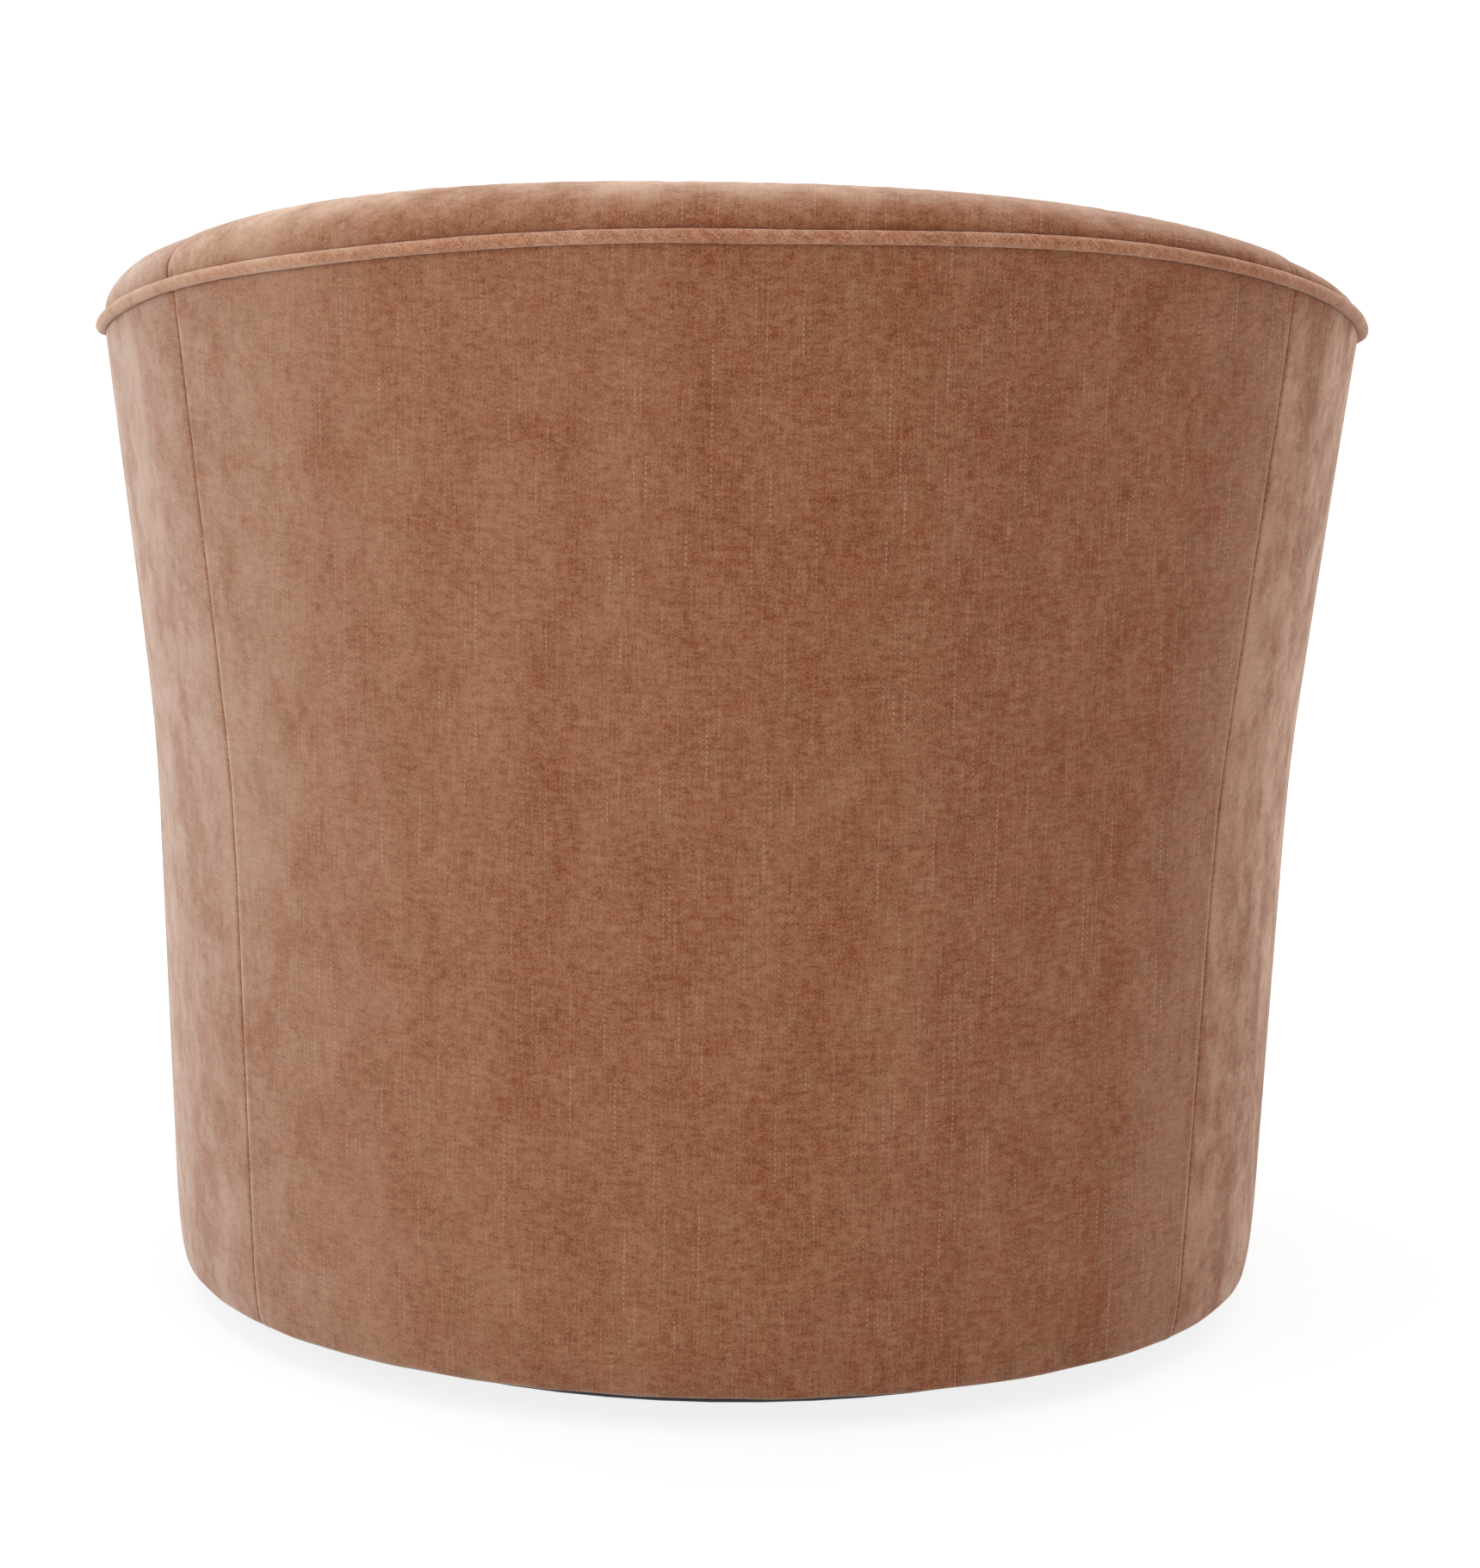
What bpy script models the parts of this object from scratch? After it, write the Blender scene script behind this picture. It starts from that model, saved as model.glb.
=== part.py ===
# Swivel barrel accent chair, built as it comes apart on the bench.
# Metres, +Z up. The origin is on the floor under the swivel's axis, and the chair faces -Y.
#
# Every piece of the barrel wall is placed by three wall coordinates: an angle round the plan
# (0 at the middle of the back, 90 at the right-hand side of someone looking along +Y, 180 at the front),
# a height, and a depth measured inwards from the outer cover.

import math

import bmesh
import bpy
from mathutils import Matrix, Vector

# Clearances
gap = 0.0003                 # between pieces that lie against each other
running_gap = 0.0004         # between the pivot pin and what turns round it
drill_past = 0.002           # how far a cutter runs past what it drills

# Plan and outer profile of the barrel
base_radius = 0.3390         # half width where the lower taper meets the hem
lower_slope = 0.040          # outward lean of the cover below the seat rail
flare_slope = 0.123          # outward lean of the cover above the seat rail
flare_start = 0.350          # height at which the lean changes
flare_softness = 0.020       # height over which the lean changes
hem_tuck = 0.004             # how far the hem turns in under the chair
hem_height = 0.015
front_reach = 0.030          # how much further the plan runs to the front than to the side
front_squareness = 2.8       # 2 is a round front, more is squarer

# Rim, along the piping
rim_back_height = 0.7015
rim_side_height = 0.591      # where the slant of the back would reach the middle of the arms
rim_bow = 1.1                # 1 is a flat slanting rim, more bows it up at the back
arm_slope = 0.140            # fall of the rim along the front of the arms
arm_ease_start = 0.060       # from the middle of the chair back to where the slant eases off
arm_ease_length = 0.030      # length over which it eases off
crown_rise = 0.027           # padding above the piping
crown_inset = 0.037          # from the outer cover to the top of the padding
rim_thickness = 0.088        # from the outer cover to the inside face, just under the rim
rim_shoulder = 0.026         # from the piping down to where the inside face starts

# Inside faces
arm_thickness = 0.092        # at the seat
back_thickness = 0.185       # at the seat, in the middle of the back
seat_bend_height = 0.430     # below this the inside faces stand upright

# Covers and piping
cover_thickness = 0.003      # fabric on its backing board
piping_radius = 0.0040
piping_stand = 0.0030        # how far the cord's middle stands outside the cover
piping_corner = 0.034        # radius where the cord turns down the front of the arm
pad_skin = 0.0015            # padding that wraps over the top rail, under the piping
back_seam_angle = 57.0
arm_front_angle = 130.0
nose_span = 18.0             # degrees round the plan from the front of the arm to the tip of its nose
nose_tip_share = 0.16        # thickness left at the tip of the nose, as a share of the arm's
nose_skin = 0.0015           # least thickness of the nose where it passes the deck
nose_drop = 0.030            # how much the rounded nose falls away at its tip
hem_drop = 0.002             # how far the covers hang below the bottom ring

# Wooden frame
frame_thickness = 0.0244
base_clearance = 0.0025      # from the base disc to the dust cover, which turns over it
ring_thickness = 0.012
ring_width = 0.060
ring_setback = 0.0015        # behind the face of the frame, clear of the turned-in hem
seat_rail_top = 0.280
seat_rail_depth = 0.050
top_rail_depth = 0.040
post_width = 0.044
cross_rail_width = 0.070
cross_rail_thickness = 0.030
cross_rail_setback = 0.049   # from the side of the hem to the ends of the cross rails

# Seat springs, webbing, deck and loose cushion
spring_wire = 0.0038
spring_count = 4
spring_clearance = 0.0391    # from the outer springs to the nearest posts
spring_half_width = 0.024
spring_loops = 12
spring_bend = 0.12           # share of a loop's pitch taken up by each of its two bends
webbing_width = 0.050
webbing_thickness = 0.0019
webbing_lap = 0.030          # length fastened to the rail at each end
deck_thickness = 0.015
cushion_thickness = 0.142
cushion_crown = 0.024        # rise of the top face above its edge
cushion_clearance = 0.0012   # to the inside faces all round
cushion_overhang = 0.018     # in front of the border
well_corner = 0.012          # from the tip of the arm to where the deck and cushion widen
cushion_edge = 0.012         # rounding of the top and bottom edges
cushion_draw_in = 0.004      # how far the middle of the side panel is drawn in

# Swivel
glide_height = 0.004
glide_radius = 0.015
glide_count = 5
glide_inset = 0.042          # from the edge of the base disc to the middle of a glide
disc_setback = 0.047         # from the hem to the edge of the base disc
disc_thickness = 0.0127
plate_margin = 0.0186        # from the middle of a bolt to the edge of its plate
plate_thickness = 0.0025
ball_diameter = 0.0095
ball_count = 6
cage_clearance = 0.0094      # from the cage to the bolt heads
cage_width = 0.022
cage_thickness = 0.0016
pin_radius = 0.006
pin_flange_radius = 0.014
pin_flange_thickness = 0.002
nut_radius = 0.011
nut_thickness = 0.006
pin_reach = 0.003            # thread that shows above the nut
pin_ease = 0.001             # bevel at the pin's end
fixing_spread = 0.200        # between the bolts of the upper plate, along X and along Y
fixing_radius = 0.0030
fixing_head_radius = 0.0060
fixing_head_height = 0.0026
fixing_head_ease = 0.0011    # rounding of the head's edge
screw_length = 0.011
bolt_length = 0.026
dust_cover_thickness = 0.0007
dust_cover_hole = 0.012      # clearance round the swivel
dust_cover_setback = 0.006   # behind the edge of the bottom ring

# Eased edges
metal_ease = 0.0006
glide_ease = 0.0008
board_ease = 0.0012
rail_ease = 0.002

# Where the pieces are divided into facets, so that neighbours share the same flats
plan_step = 6.0
base_sides = 60
plate_sides = 40
cage_sides = 42              # seven flats to each ball's share of the ring
pin_sides = 16
fixing_sides = 8
nut_sides = 6
hole_sides = 12
ball_rings = 6
hem_knots = (0.7, 2.0)                       # in hem heights above the hem
flare_knots = (-2.6, -0.8, 0.8, 2.6)         # in softness heights from the change of lean
corner_knots = (1.0, 0.75, 0.5, 0.28, 0.12)  # in corner radii from the front of the arm
nose_knots = (0.14, 0.34, 0.54, 0.72, 0.86, 0.95)
face_knots = (0.3, 0.55, 0.8)                # up the inside face, from the seat to the rim
crown_inner_steps = 5                        # over the padding, from its shoulder to its top
crown_outer_steps = 4                        # and from its top to the piping
cushion_edge_knots = ((0.45, 0.3), (1.0, 0.0))   # rise and inset of the rounded edge, in edge roundings
cushion_under_rings = (0.6, 1.0)             # rings of the cushion's underside, as shares of its outline
cushion_top_rings = (1.0, 0.86, 0.66, 0.38)


# Sizes that follow
nose_end_angle = arm_front_angle + nose_span
disc_radius = base_radius - disc_setback
glide_circle = disc_radius - glide_inset
fixing_circle = fixing_spread / math.sqrt(2)
plate_radius = fixing_circle + plate_margin
race_radius = fixing_circle - fixing_head_radius - cage_clearance - cage_width / 2
cross_rail_length = 2 * (base_radius - cross_rail_setback)
disc_bottom = glide_height + gap
disc_top = disc_bottom + disc_thickness
ring_height = disc_top + base_clearance + dust_cover_thickness + gap
skirt_height = ring_height - hem_drop
lower_plate_bottom = disc_top + gap
lower_plate_top = lower_plate_bottom + plate_thickness
ball_height = lower_plate_top + gap + ball_diameter / 2
upper_plate_bottom = ball_height + ball_diameter / 2 + gap
upper_plate_top = upper_plate_bottom + plate_thickness
ring_top = ring_height + ring_thickness
cross_rail_bottom = max(upper_plate_top, ring_top) + gap
frame_depth = cover_thickness + 2 * gap
frame_inner_depth = frame_depth + frame_thickness
webbing_depth = frame_inner_depth + 2 * gap
pad_back_depth = webbing_depth + webbing_thickness + 2 * gap
spring_height = seat_rail_top + gap + spring_wire / 2
deck_bottom = spring_height + spring_wire / 2 + gap
deck_top = deck_bottom + deck_thickness
cushion_bottom = deck_top + gap
cord_clear = piping_radius + gap
groove_depth = piping_radius - piping_stand + gap
profile_knots = [skirt_height + hem_height * k for k in hem_knots]
profile_knots += [flare_start + flare_softness * k for k in flare_knots]


def side_radius(z):
    """Half width of the outer cover at height z: a slight taper that turns into a flare above the seat."""
    rise = z - skirt_height
    bend = flare_softness * math.log1p(math.exp((z - flare_start) / flare_softness))
    hem = hem_tuck * math.exp(-max(rise, 0.0) / hem_height)
    return base_radius + lower_slope * rise + (flare_slope - lower_slope) * bend - hem


def outline(angle, z):
    """Plan of the outer cover: round at the back, squarer at the front."""
    radius = side_radius(z)
    s, c = math.sin(math.radians(angle)), math.cos(math.radians(angle))
    if c >= 0:
        return Vector((radius * s, radius * c))
    power = 2 / front_squareness
    return Vector((math.copysign(radius * abs(s) ** power, s), -(radius + front_reach) * abs(c) ** power))


def wall_point(angle, z, depth):
    """A point of the wall. All those at one angle lie in one upright plane, whatever their height."""
    low, high = outline(angle, skirt_height), outline(angle, rim_side_height)
    across = (high - low).normalized()
    along = outline(angle + 0.5, z) - outline(angle - 0.5, z)
    square = Vector((-along.y, along.x)).normalized()
    flat = outline(angle, z) - across * depth / across.dot(square)
    return Vector((flat.x, flat.y, z))


def angle_of(width, angle, z=seat_rail_top):
    """Angle that a short width takes up along the cover."""
    return width / (outline(angle + 0.5, z) - outline(angle - 0.5, z)).length


def steps(first, last, extra=()):
    """Angles from first to last: the ends, with the whole plan steps, posts' edges and extra ones between."""
    whole = [plan_step * i for i in range(math.ceil(first / plan_step), math.floor(last / plan_step) + 1)]
    margin = plan_step / 20
    between = {a for a in (*whole, *post_edges, *extra) if first + margin < a < last - margin}
    return sorted({first, last} | between)


def knots_between(lows, highs):
    """The heights at which the profile bends that lie between these ends at every angle."""
    margin = hem_height / 6
    return [k for k in profile_knots if max(lows) + margin < k < min(highs) - margin]


def rim_height(angle):
    """Height of the piping: a steady slant from the back to the sides, gentler along the arms."""
    fall = rim_back_height - rim_side_height
    radius = side_radius(rim_side_height)
    slope = fall * rim_bow / radius
    y = outline(angle, rim_side_height).y
    away = max(0.0, 1 - max(y, 0.0) / radius)
    slant = rim_back_height - fall * away ** rim_bow + slope * min(y, 0.0)
    eased = arm_ease_length * math.log1p(math.exp((arm_ease_start - y) / arm_ease_length))
    return slant + (slope - arm_slope) * eased


def edge_height(angle, inside=0.0):
    """Height of a line inside the piping by a distance, with the round corner at the arm's front."""
    run = (arm_front_angle - abs(angle)) / angle_of(1.0, arm_front_angle, rim_side_height) - inside
    radius = piping_corner - inside
    drop = 0.0
    if run < radius:
        drop = radius - math.sqrt(max(0.0, radius ** 2 - (radius - max(run, 0.0)) ** 2))
    return rim_height(angle) - inside - drop


def inside_depth(angle, z):
    """Depth of the inside face: thin at the rim, thicker at the seat, thickest in the middle of the back."""
    start = rim_height(angle) - rim_shoulder
    share = min(1.0, max(0.0, (start - z) / (start - seat_bend_height)))
    share = share * share * (3 - 2 * share)
    middle = max(0.0, math.cos(math.radians(angle))) ** 2
    full = arm_thickness + (back_thickness - arm_thickness) * middle
    return rim_thickness + (full - rim_thickness) * share


def arm_depth(angle, z, share):
    """Depth of the inside face for a share of the arm's thickness, never outside the wall at the deck."""
    lean = side_radius(seat_bend_height) - side_radius(deck_bottom)
    return max(inside_depth(angle, z) * share, lean + nose_skin)


def inside_point(angle, z, share=1.0, clear=0.0):
    """Point on the inside face, or clear of it, which stands upright below the seat's height."""
    level = max(z, seat_bend_height)
    flat = wall_point(angle, level, arm_depth(angle, level, share) + clear)
    return Vector((flat.x, flat.y, z))


def nose_share(angle):
    """Thickness of the arm at its rounded front, as a share of the whole arm's."""
    run = (abs(angle) - arm_front_angle) / (nose_end_angle - arm_front_angle)
    run = min(1.0, max(0.0, run))
    return max(nose_tip_share, math.sqrt(1 - run * run))


# Scene, collections and materials

for old in list(bpy.data.objects):
    bpy.data.objects.remove(old)

chair = bpy.data.collections.new("swivel_accent_chair")
cutters = bpy.data.collections.new("cutters")
for collection in (chair, cutters):
    bpy.context.scene.collection.children.link(collection)


def make_material(name, colour, roughness, metallic=0.0):
    material = bpy.data.materials.new(name)
    material.use_nodes = True
    shader = material.node_tree.nodes["Principled BSDF"]
    shader.inputs["Base Color"].default_value = (*colour, 1.0)
    shader.inputs["Roughness"].default_value = roughness
    shader.inputs["Metallic"].default_value = metallic
    return material


chenille = make_material("chenille", (0.345, 0.155, 0.090), 0.85)
lining = make_material("lining", (0.020, 0.020, 0.021), 0.95)
beech = make_material("beech", (0.560, 0.370, 0.200), 0.60)
plywood = make_material("plywood", (0.600, 0.430, 0.250), 0.65)
black_board = make_material("black_board", (0.012, 0.012, 0.013), 0.60)
black_steel = make_material("black_steel", (0.020, 0.020, 0.022), 0.45, 0.6)
bright_steel = make_material("bright_steel", (0.560, 0.560, 0.570), 0.30, 1.0)
nylon = make_material("nylon", (0.050, 0.050, 0.052), 0.50)
elastic = make_material("elastic", (0.060, 0.058, 0.055), 0.90)


def place(obj, name, material, group=None, collection=chair):
    """Names an object, files it in its collection and hangs it on its moving group."""
    obj.name = name
    obj.data.name = name
    for used in list(obj.users_collection):
        used.objects.unlink(obj)
    collection.objects.link(obj)
    if material:
        obj.data.materials.append(material)
    if group:
        obj.parent = group
        obj.matrix_parent_inverse = group.matrix_world.inverted()
    return obj


def make_group(name, height=0.0):
    """An empty on the swivel's axis that a moving group of pieces hangs on."""
    group = bpy.data.objects.new(name, None)
    group.location.z = height
    chair.objects.link(group)
    bpy.context.view_layer.update()
    return group


floor_group = make_group("floor_stand")
cage_group = make_group("cage_axis", ball_height)
body_group = make_group("swivel_axis", upper_plate_bottom)
cushion_group = make_group("cushion_lift", cushion_bottom)


def smooth(obj, angle=40.0):
    obj.data.shade_smooth()
    obj.data.set_sharp_from_angle(angle=math.radians(angle))


def drilled(obj, cutter):
    cut = obj.modifiers.new("hole", "BOOLEAN")
    cut.operation = "DIFFERENCE"
    cut.object = cutter


def drill(name, x, y, radius, low, high):
    """A round cutter that runs past both faces of what it drills."""
    bpy.ops.mesh.primitive_cylinder_add(
        vertices=hole_sides, radius=radius, depth=high - low + 2 * drill_past,
        location=(x, y, (low + high) / 2))
    cutter = place(bpy.context.object, name, None, collection=cutters)
    cutter.hide_render = True
    cutter.display_type = "WIRE"
    return cutter


def disc(name, radius, low, high, material, group, sides, x=0.0, y=0.0, bevel=0.0):
    bpy.ops.mesh.primitive_cylinder_add(
        vertices=sides, radius=radius, depth=high - low, location=(x, y, (low + high) / 2))
    obj = place(bpy.context.object, name, material, group)
    smooth(obj)
    if bevel:
        edge = obj.modifiers.new("eased edge", "BEVEL")
        edge.width = bevel
        edge.segments = 1
        edge.limit_method = "ANGLE"
    return obj


def turned(name, profile, material, group, sides, x=0.0, y=0.0, z=0.0):
    """Turns a profile of (radius, height) points, given down the outer side, about a vertical axis."""
    mesh = bpy.data.meshes.new(name)
    mesh.from_pydata([(r, 0.0, h) for r, h in profile], [(i, i + 1) for i in range(len(profile) - 1)], [])
    obj = place(bpy.data.objects.new(name, mesh), name, material, group)
    obj.location = (x, y, z)
    screw = obj.modifiers.new("turn", "SCREW")
    screw.steps = screw.render_steps = sides
    screw.use_merge_vertices = True
    screw.merge_threshold = 0.00001
    screw.use_smooth_shade = False
    return obj


def wall_sheet(name, angles, bottom, top, depth, thickness, material):
    """A cover or a strap: a grid laid along the wall, given its thickness inwards."""
    knots = knots_between([bottom(a) for a in angles], [top(a) for a in angles])
    columns, rows = len(angles) - 1, len(knots) + 1
    bpy.ops.mesh.primitive_grid_add(x_subdivisions=columns, y_subdivisions=rows, size=2)
    obj = place(bpy.context.object, name, material, body_group)
    for vertex in obj.data.vertices:
        angle = angles[columns - round((vertex.co.x + 1) / 2 * columns)]
        levels = (bottom(angle), *knots, top(angle))
        vertex.co = wall_point(angle, levels[round((vertex.co.y + 1) / 2 * rows)], depth)
    wall = obj.modifiers.new("thickness", "SOLIDIFY")
    wall.thickness = thickness
    wall.offset = -1
    wall.use_even_offset = True
    smooth(obj)
    return obj


def loft(name, sections, material, group=None):
    """A closed solid through sections with the same number of points, its ends fans if it is loose."""
    shape = bmesh.new()
    rings = [[shape.verts.new(point) for point in section] for section in sections]
    count = len(rings[0])
    for near, far in zip(rings, rings[1:]):
        for i in range(count):
            shape.faces.new((near[i], near[(i + 1) % count], far[(i + 1) % count], far[i]))
    ends = [shape.faces.new(rings[0][::-1]), shape.faces.new(rings[-1])]
    if group:
        bmesh.ops.poke(shape, faces=ends)
    bmesh.ops.recalc_face_normals(shape, faces=shape.faces)
    mesh = bpy.data.meshes.new(name)
    shape.to_mesh(mesh)
    shape.free()
    obj = place(bpy.data.objects.new(name, mesh), name, material, group or body_group)
    smooth(obj)
    return obj


def flat_board(name, outlines, low, high, material, group):
    """A flat board cut to one or more closed outlines, the later ones being holes."""
    curve = bpy.data.curves.new(name, "CURVE")
    curve.dimensions = "2D"
    curve.fill_mode = "BOTH"
    curve.extrude = (high - low) / 2
    for points in outlines:
        spline = curve.splines.new("POLY")
        spline.points.add(len(points) - 1)
        for target, point in zip(spline.points, points):
            target.co = (point.x, point.y, 0.0, 1.0)
        spline.use_cyclic_u = True
    obj = place(bpy.data.objects.new(name, curve), name, material, group)
    obj.location.z = (low + high) / 2
    return obj


def rod(name, points, radius, material):
    curve = bpy.data.curves.new(name, "CURVE")
    curve.dimensions = "3D"
    curve.bevel_depth = radius
    curve.bevel_resolution = 1
    curve.use_fill_caps = True
    spline = curve.splines.new("POLY")
    spline.points.add(len(points) - 1)
    for target, point in zip(spline.points, points):
        target.co = (*point, 1.0)
    place(bpy.data.objects.new(name, curve), name, material, body_group)


def wall_board(name, angles, low, high):
    """A frame board bent to the wall, with square ends that lie across it."""
    knots = knots_between([low(a) for a in angles], [high(a) for a in angles])
    sections = []
    for angle in angles:
        levels = (low(angle), *knots, high(angle))
        outer = [wall_point(angle, z, frame_depth) for z in levels]
        inner = [wall_point(angle, z, frame_inner_depth) for z in levels[::-1]]
        sections.append(outer + inner)
    loft(name, sections, beech)


sides = (("left", -1), ("right", 1))
piping_half = angle_of(cord_clear, arm_front_angle)
corner_span = angle_of(piping_corner, arm_front_angle, rim_side_height)
corner_angles = [arm_front_angle - corner_span * k for k in corner_knots]
nose_angles = [arm_front_angle + (nose_end_angle - arm_front_angle) * k for k in nose_knots]
frame_end_angle = arm_front_angle - piping_half - angle_of(gap, arm_front_angle)
seam_half = angle_of(gap, back_seam_angle)
back_post_half = angle_of(post_width / 2, back_seam_angle)
front_post_start = frame_end_angle - angle_of(post_width, frame_end_angle)
round_angles = [plan_step * i for i in range(round(360 / plan_step))]


def both_sides(angles):
    return [-a for a in angles] + list(angles)


def mirrored(angles, side):
    """A run of angles on the right-hand side, or its mirror image, in rising order."""
    return sorted(side * a for a in angles)


post_edges = both_sides(
    [back_seam_angle - back_post_half, back_seam_angle + back_post_half, front_post_start])


# Stand on the floor

def make_stand():
    disc("base_disc", disc_radius, disc_bottom, disc_top, black_board, floor_group, base_sides,
         bevel=board_ease)
    for i in range(glide_count):
        turn = 2 * math.pi * (i + 0.5) / glide_count
        disc(f"floor_glide_{i + 1}", glide_radius, 0.0, glide_height, nylon, floor_group, pin_sides,
             glide_circle * math.sin(turn), glide_circle * math.cos(turn), glide_ease)


def fixing_places(turn):
    """The four fixing points of a swivel plate; the lower plate's are turned half way between."""
    turns = [turn + i * math.pi / 2 for i in range(4)]
    return [(fixing_circle * math.cos(a), fixing_circle * math.sin(a)) for a in turns]


def fixing_profile(length):
    """Half outline of a pan-head screw or bolt, head up, with its seat at height 0."""
    return [(0.0, fixing_head_height), (fixing_head_radius - fixing_head_ease, fixing_head_height),
            (fixing_head_radius, fixing_head_height - fixing_head_ease), (fixing_head_radius, 0.0),
            (fixing_radius, 0.0), (fixing_radius, -length + fixing_radius), (0.0, -length)]


def make_swivel():
    lower = disc("swivel_lower_plate", plate_radius, lower_plate_bottom, lower_plate_top,
                 black_steel, floor_group, plate_sides)
    upper = disc("swivel_upper_plate", plate_radius, upper_plate_bottom, upper_plate_top,
                 black_steel, body_group, plate_sides)
    hole_radius = (pin_radius + running_gap) / math.cos(math.pi / hole_sides)
    centre = drill("pin_hole", 0, 0, hole_radius, disc_bottom, upper_plate_top)
    for plate in (lower, upper):
        drilled(plate, centre)
    shank_hole = (fixing_radius + gap) / math.cos(math.pi / hole_sides)
    for i, (x, y) in enumerate(fixing_places(0.0)):
        screw = turned(f"lower_plate_screw_{i + 1}", fixing_profile(screw_length), bright_steel, floor_group,
                       fixing_sides, x, y, lower_plate_top + gap)
        cutter = drill(f"screw_hole_{i + 1}", x, y, shank_hole,
                       screw.location.z - screw_length, lower_plate_top)
        drilled(lower, cutter)
        drilled(bpy.data.objects["base_disc"], cutter)
    for i, (x, y) in enumerate(fixing_places(math.pi / 4)):
        bolt = turned(f"upper_plate_bolt_{i + 1}", fixing_profile(bolt_length), bright_steel, body_group,
                      fixing_sides, x, y, upper_plate_bottom - gap)
        bolt.rotation_euler.x = math.pi
        cutter = drill(f"bolt_hole_{i + 1}", x, y, shank_hole,
                       upper_plate_bottom, bolt.location.z + bolt_length)
        drilled(upper, cutter)
        side = "right" if x > 0 else "left"
        drilled(bpy.data.objects[f"cross_rail_{side}"], cutter)

    flange = lower_plate_top + gap
    pin_top = upper_plate_top + nut_thickness + pin_reach
    turned("pivot_pin", [
        (0.0, pin_top), (pin_radius - pin_ease, pin_top), (pin_radius, pin_top - pin_ease),
        (pin_radius, flange + pin_flange_thickness), (pin_flange_radius, flange + pin_flange_thickness),
        (pin_flange_radius, flange), (pin_radius, flange), (pin_radius, lower_plate_bottom),
        (0.0, lower_plate_bottom)], bright_steel, floor_group, pin_sides)
    nut = disc("pivot_nut", nut_radius, upper_plate_top + gap, upper_plate_top + gap + nut_thickness,
               bright_steel, floor_group, nut_sides, bevel=metal_ease)
    drilled(nut, drill("nut_bore", 0, 0, hole_radius, upper_plate_top, upper_plate_top + nut_thickness))

    near, far, half = race_radius - cage_width / 2, race_radius + cage_width / 2, cage_thickness / 2
    cage = turned("ball_cage", [(near, half), (far, half), (far, -half), (near, -half), (near, half)],
                  black_steel, cage_group, cage_sides, z=ball_height)
    pocket_radius = (ball_diameter / 2 + gap) / math.cos(math.pi / hole_sides)
    for i in range(ball_count):
        turn = 2 * math.pi * (i + 0.5) / ball_count
        x, y = race_radius * math.cos(turn), race_radius * math.sin(turn)
        drilled(cage, drill(f"ball_pocket_{i + 1}", x, y, pocket_radius,
                            ball_height - half, ball_height + half))
        bpy.ops.mesh.primitive_uv_sphere_add(
            segments=2 * ball_rings, ring_count=ball_rings, radius=ball_diameter / 2,
            location=(x, y, ball_height))
        smooth(place(bpy.context.object, f"race_ball_{i + 1}", bright_steel, cage_group), 60)


# Wooden frame

def top_rail_top(angle):
    return rim_height(angle) - cord_clear - 2 * gap - pad_skin


def top_rail_bottom(angle):
    return top_rail_top(angle) - top_rail_depth


def make_frame():
    ring_depth = frame_depth + ring_setback
    outer = [wall_point(a, ring_height, ring_depth) for a in round_angles]
    inner = [wall_point(a, ring_height, ring_depth + ring_width) for a in round_angles]
    flat_board("bottom_ring", [outer, inner], ring_height, ring_top, plywood, body_group)

    for side, sign in sides:
        bpy.ops.mesh.primitive_cube_add(
            size=1, location=(sign * fixing_spread / 2, 0, cross_rail_bottom + cross_rail_thickness / 2))
        rail = place(bpy.context.object, f"cross_rail_{side}", beech, body_group)
        rail.data.transform(Matrix.Diagonal((cross_rail_width, cross_rail_length, cross_rail_thickness, 1)))
        edge = rail.modifiers.new("eased edges", "BEVEL")
        edge.width = rail_ease
        edge.segments = 1

    def rail_bottom(angle):
        return seat_rail_top - seat_rail_depth

    def rail_top(angle):
        return seat_rail_top

    def post_bottom(angle):
        return ring_top + gap

    def post_top(angle):
        return top_rail_bottom(angle) - gap

    back_joint = angle_of(gap, back_seam_angle)
    front_joint = angle_of(gap, frame_end_angle)
    before, after = back_seam_angle - back_post_half, back_seam_angle + back_post_half

    for side, sign in sides:
        wall_board(f"back_post_{side}", mirrored(steps(before, after), sign), post_bottom, post_top)
        wall_board(f"front_post_{side}", mirrored(steps(front_post_start, frame_end_angle), sign),
                   post_bottom, post_top)
        wall_board(f"seat_rail_{side}",
                   mirrored(steps(after + back_joint, front_post_start - front_joint), sign),
                   rail_bottom, rail_top)
        wall_board(f"top_rail_{side}",
                   mirrored(steps(back_seam_angle + back_joint, frame_end_angle, corner_angles), sign),
                   top_rail_bottom, top_rail_top)
    wall_board("seat_rail_back", steps(-before + back_joint, before - back_joint), rail_bottom, rail_top)
    wall_board("top_rail_back", steps(-back_seam_angle + back_joint, back_seam_angle - back_joint),
               top_rail_bottom, top_rail_top)
    front_start = frame_end_angle + front_joint
    corners = nose_angles + [360 - a for a in nose_angles]
    wall_board("seat_rail_front", steps(front_start, 360 - front_start, corners), rail_bottom, rail_top)


# Springs, webbing and deck

def plan_y(x, depth, front):
    """Where the line at a depth in the wall crosses x, at the front or at the back."""
    low, high = (90.0, 180.0) if front else (0.0, 90.0)
    for _ in range(40):
        middle = (low + high) / 2
        if (wall_point(middle, seat_rail_top, depth).x > abs(x)) == front:
            low = middle
        else:
            high = middle
    return wall_point(low, seat_rail_top, depth).y


def spring_places():
    """Where the springs lie across the seat, evenly between the posts."""
    post_corners = [wall_point(a, seat_rail_top, frame_inner_depth).x
                    for a in (back_seam_angle - back_post_half, frame_end_angle)]
    outermost = min(post_corners) - spring_clearance - spring_half_width
    return [outermost * (2 * i / (spring_count - 1) - 1) for i in range(spring_count)]


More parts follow.
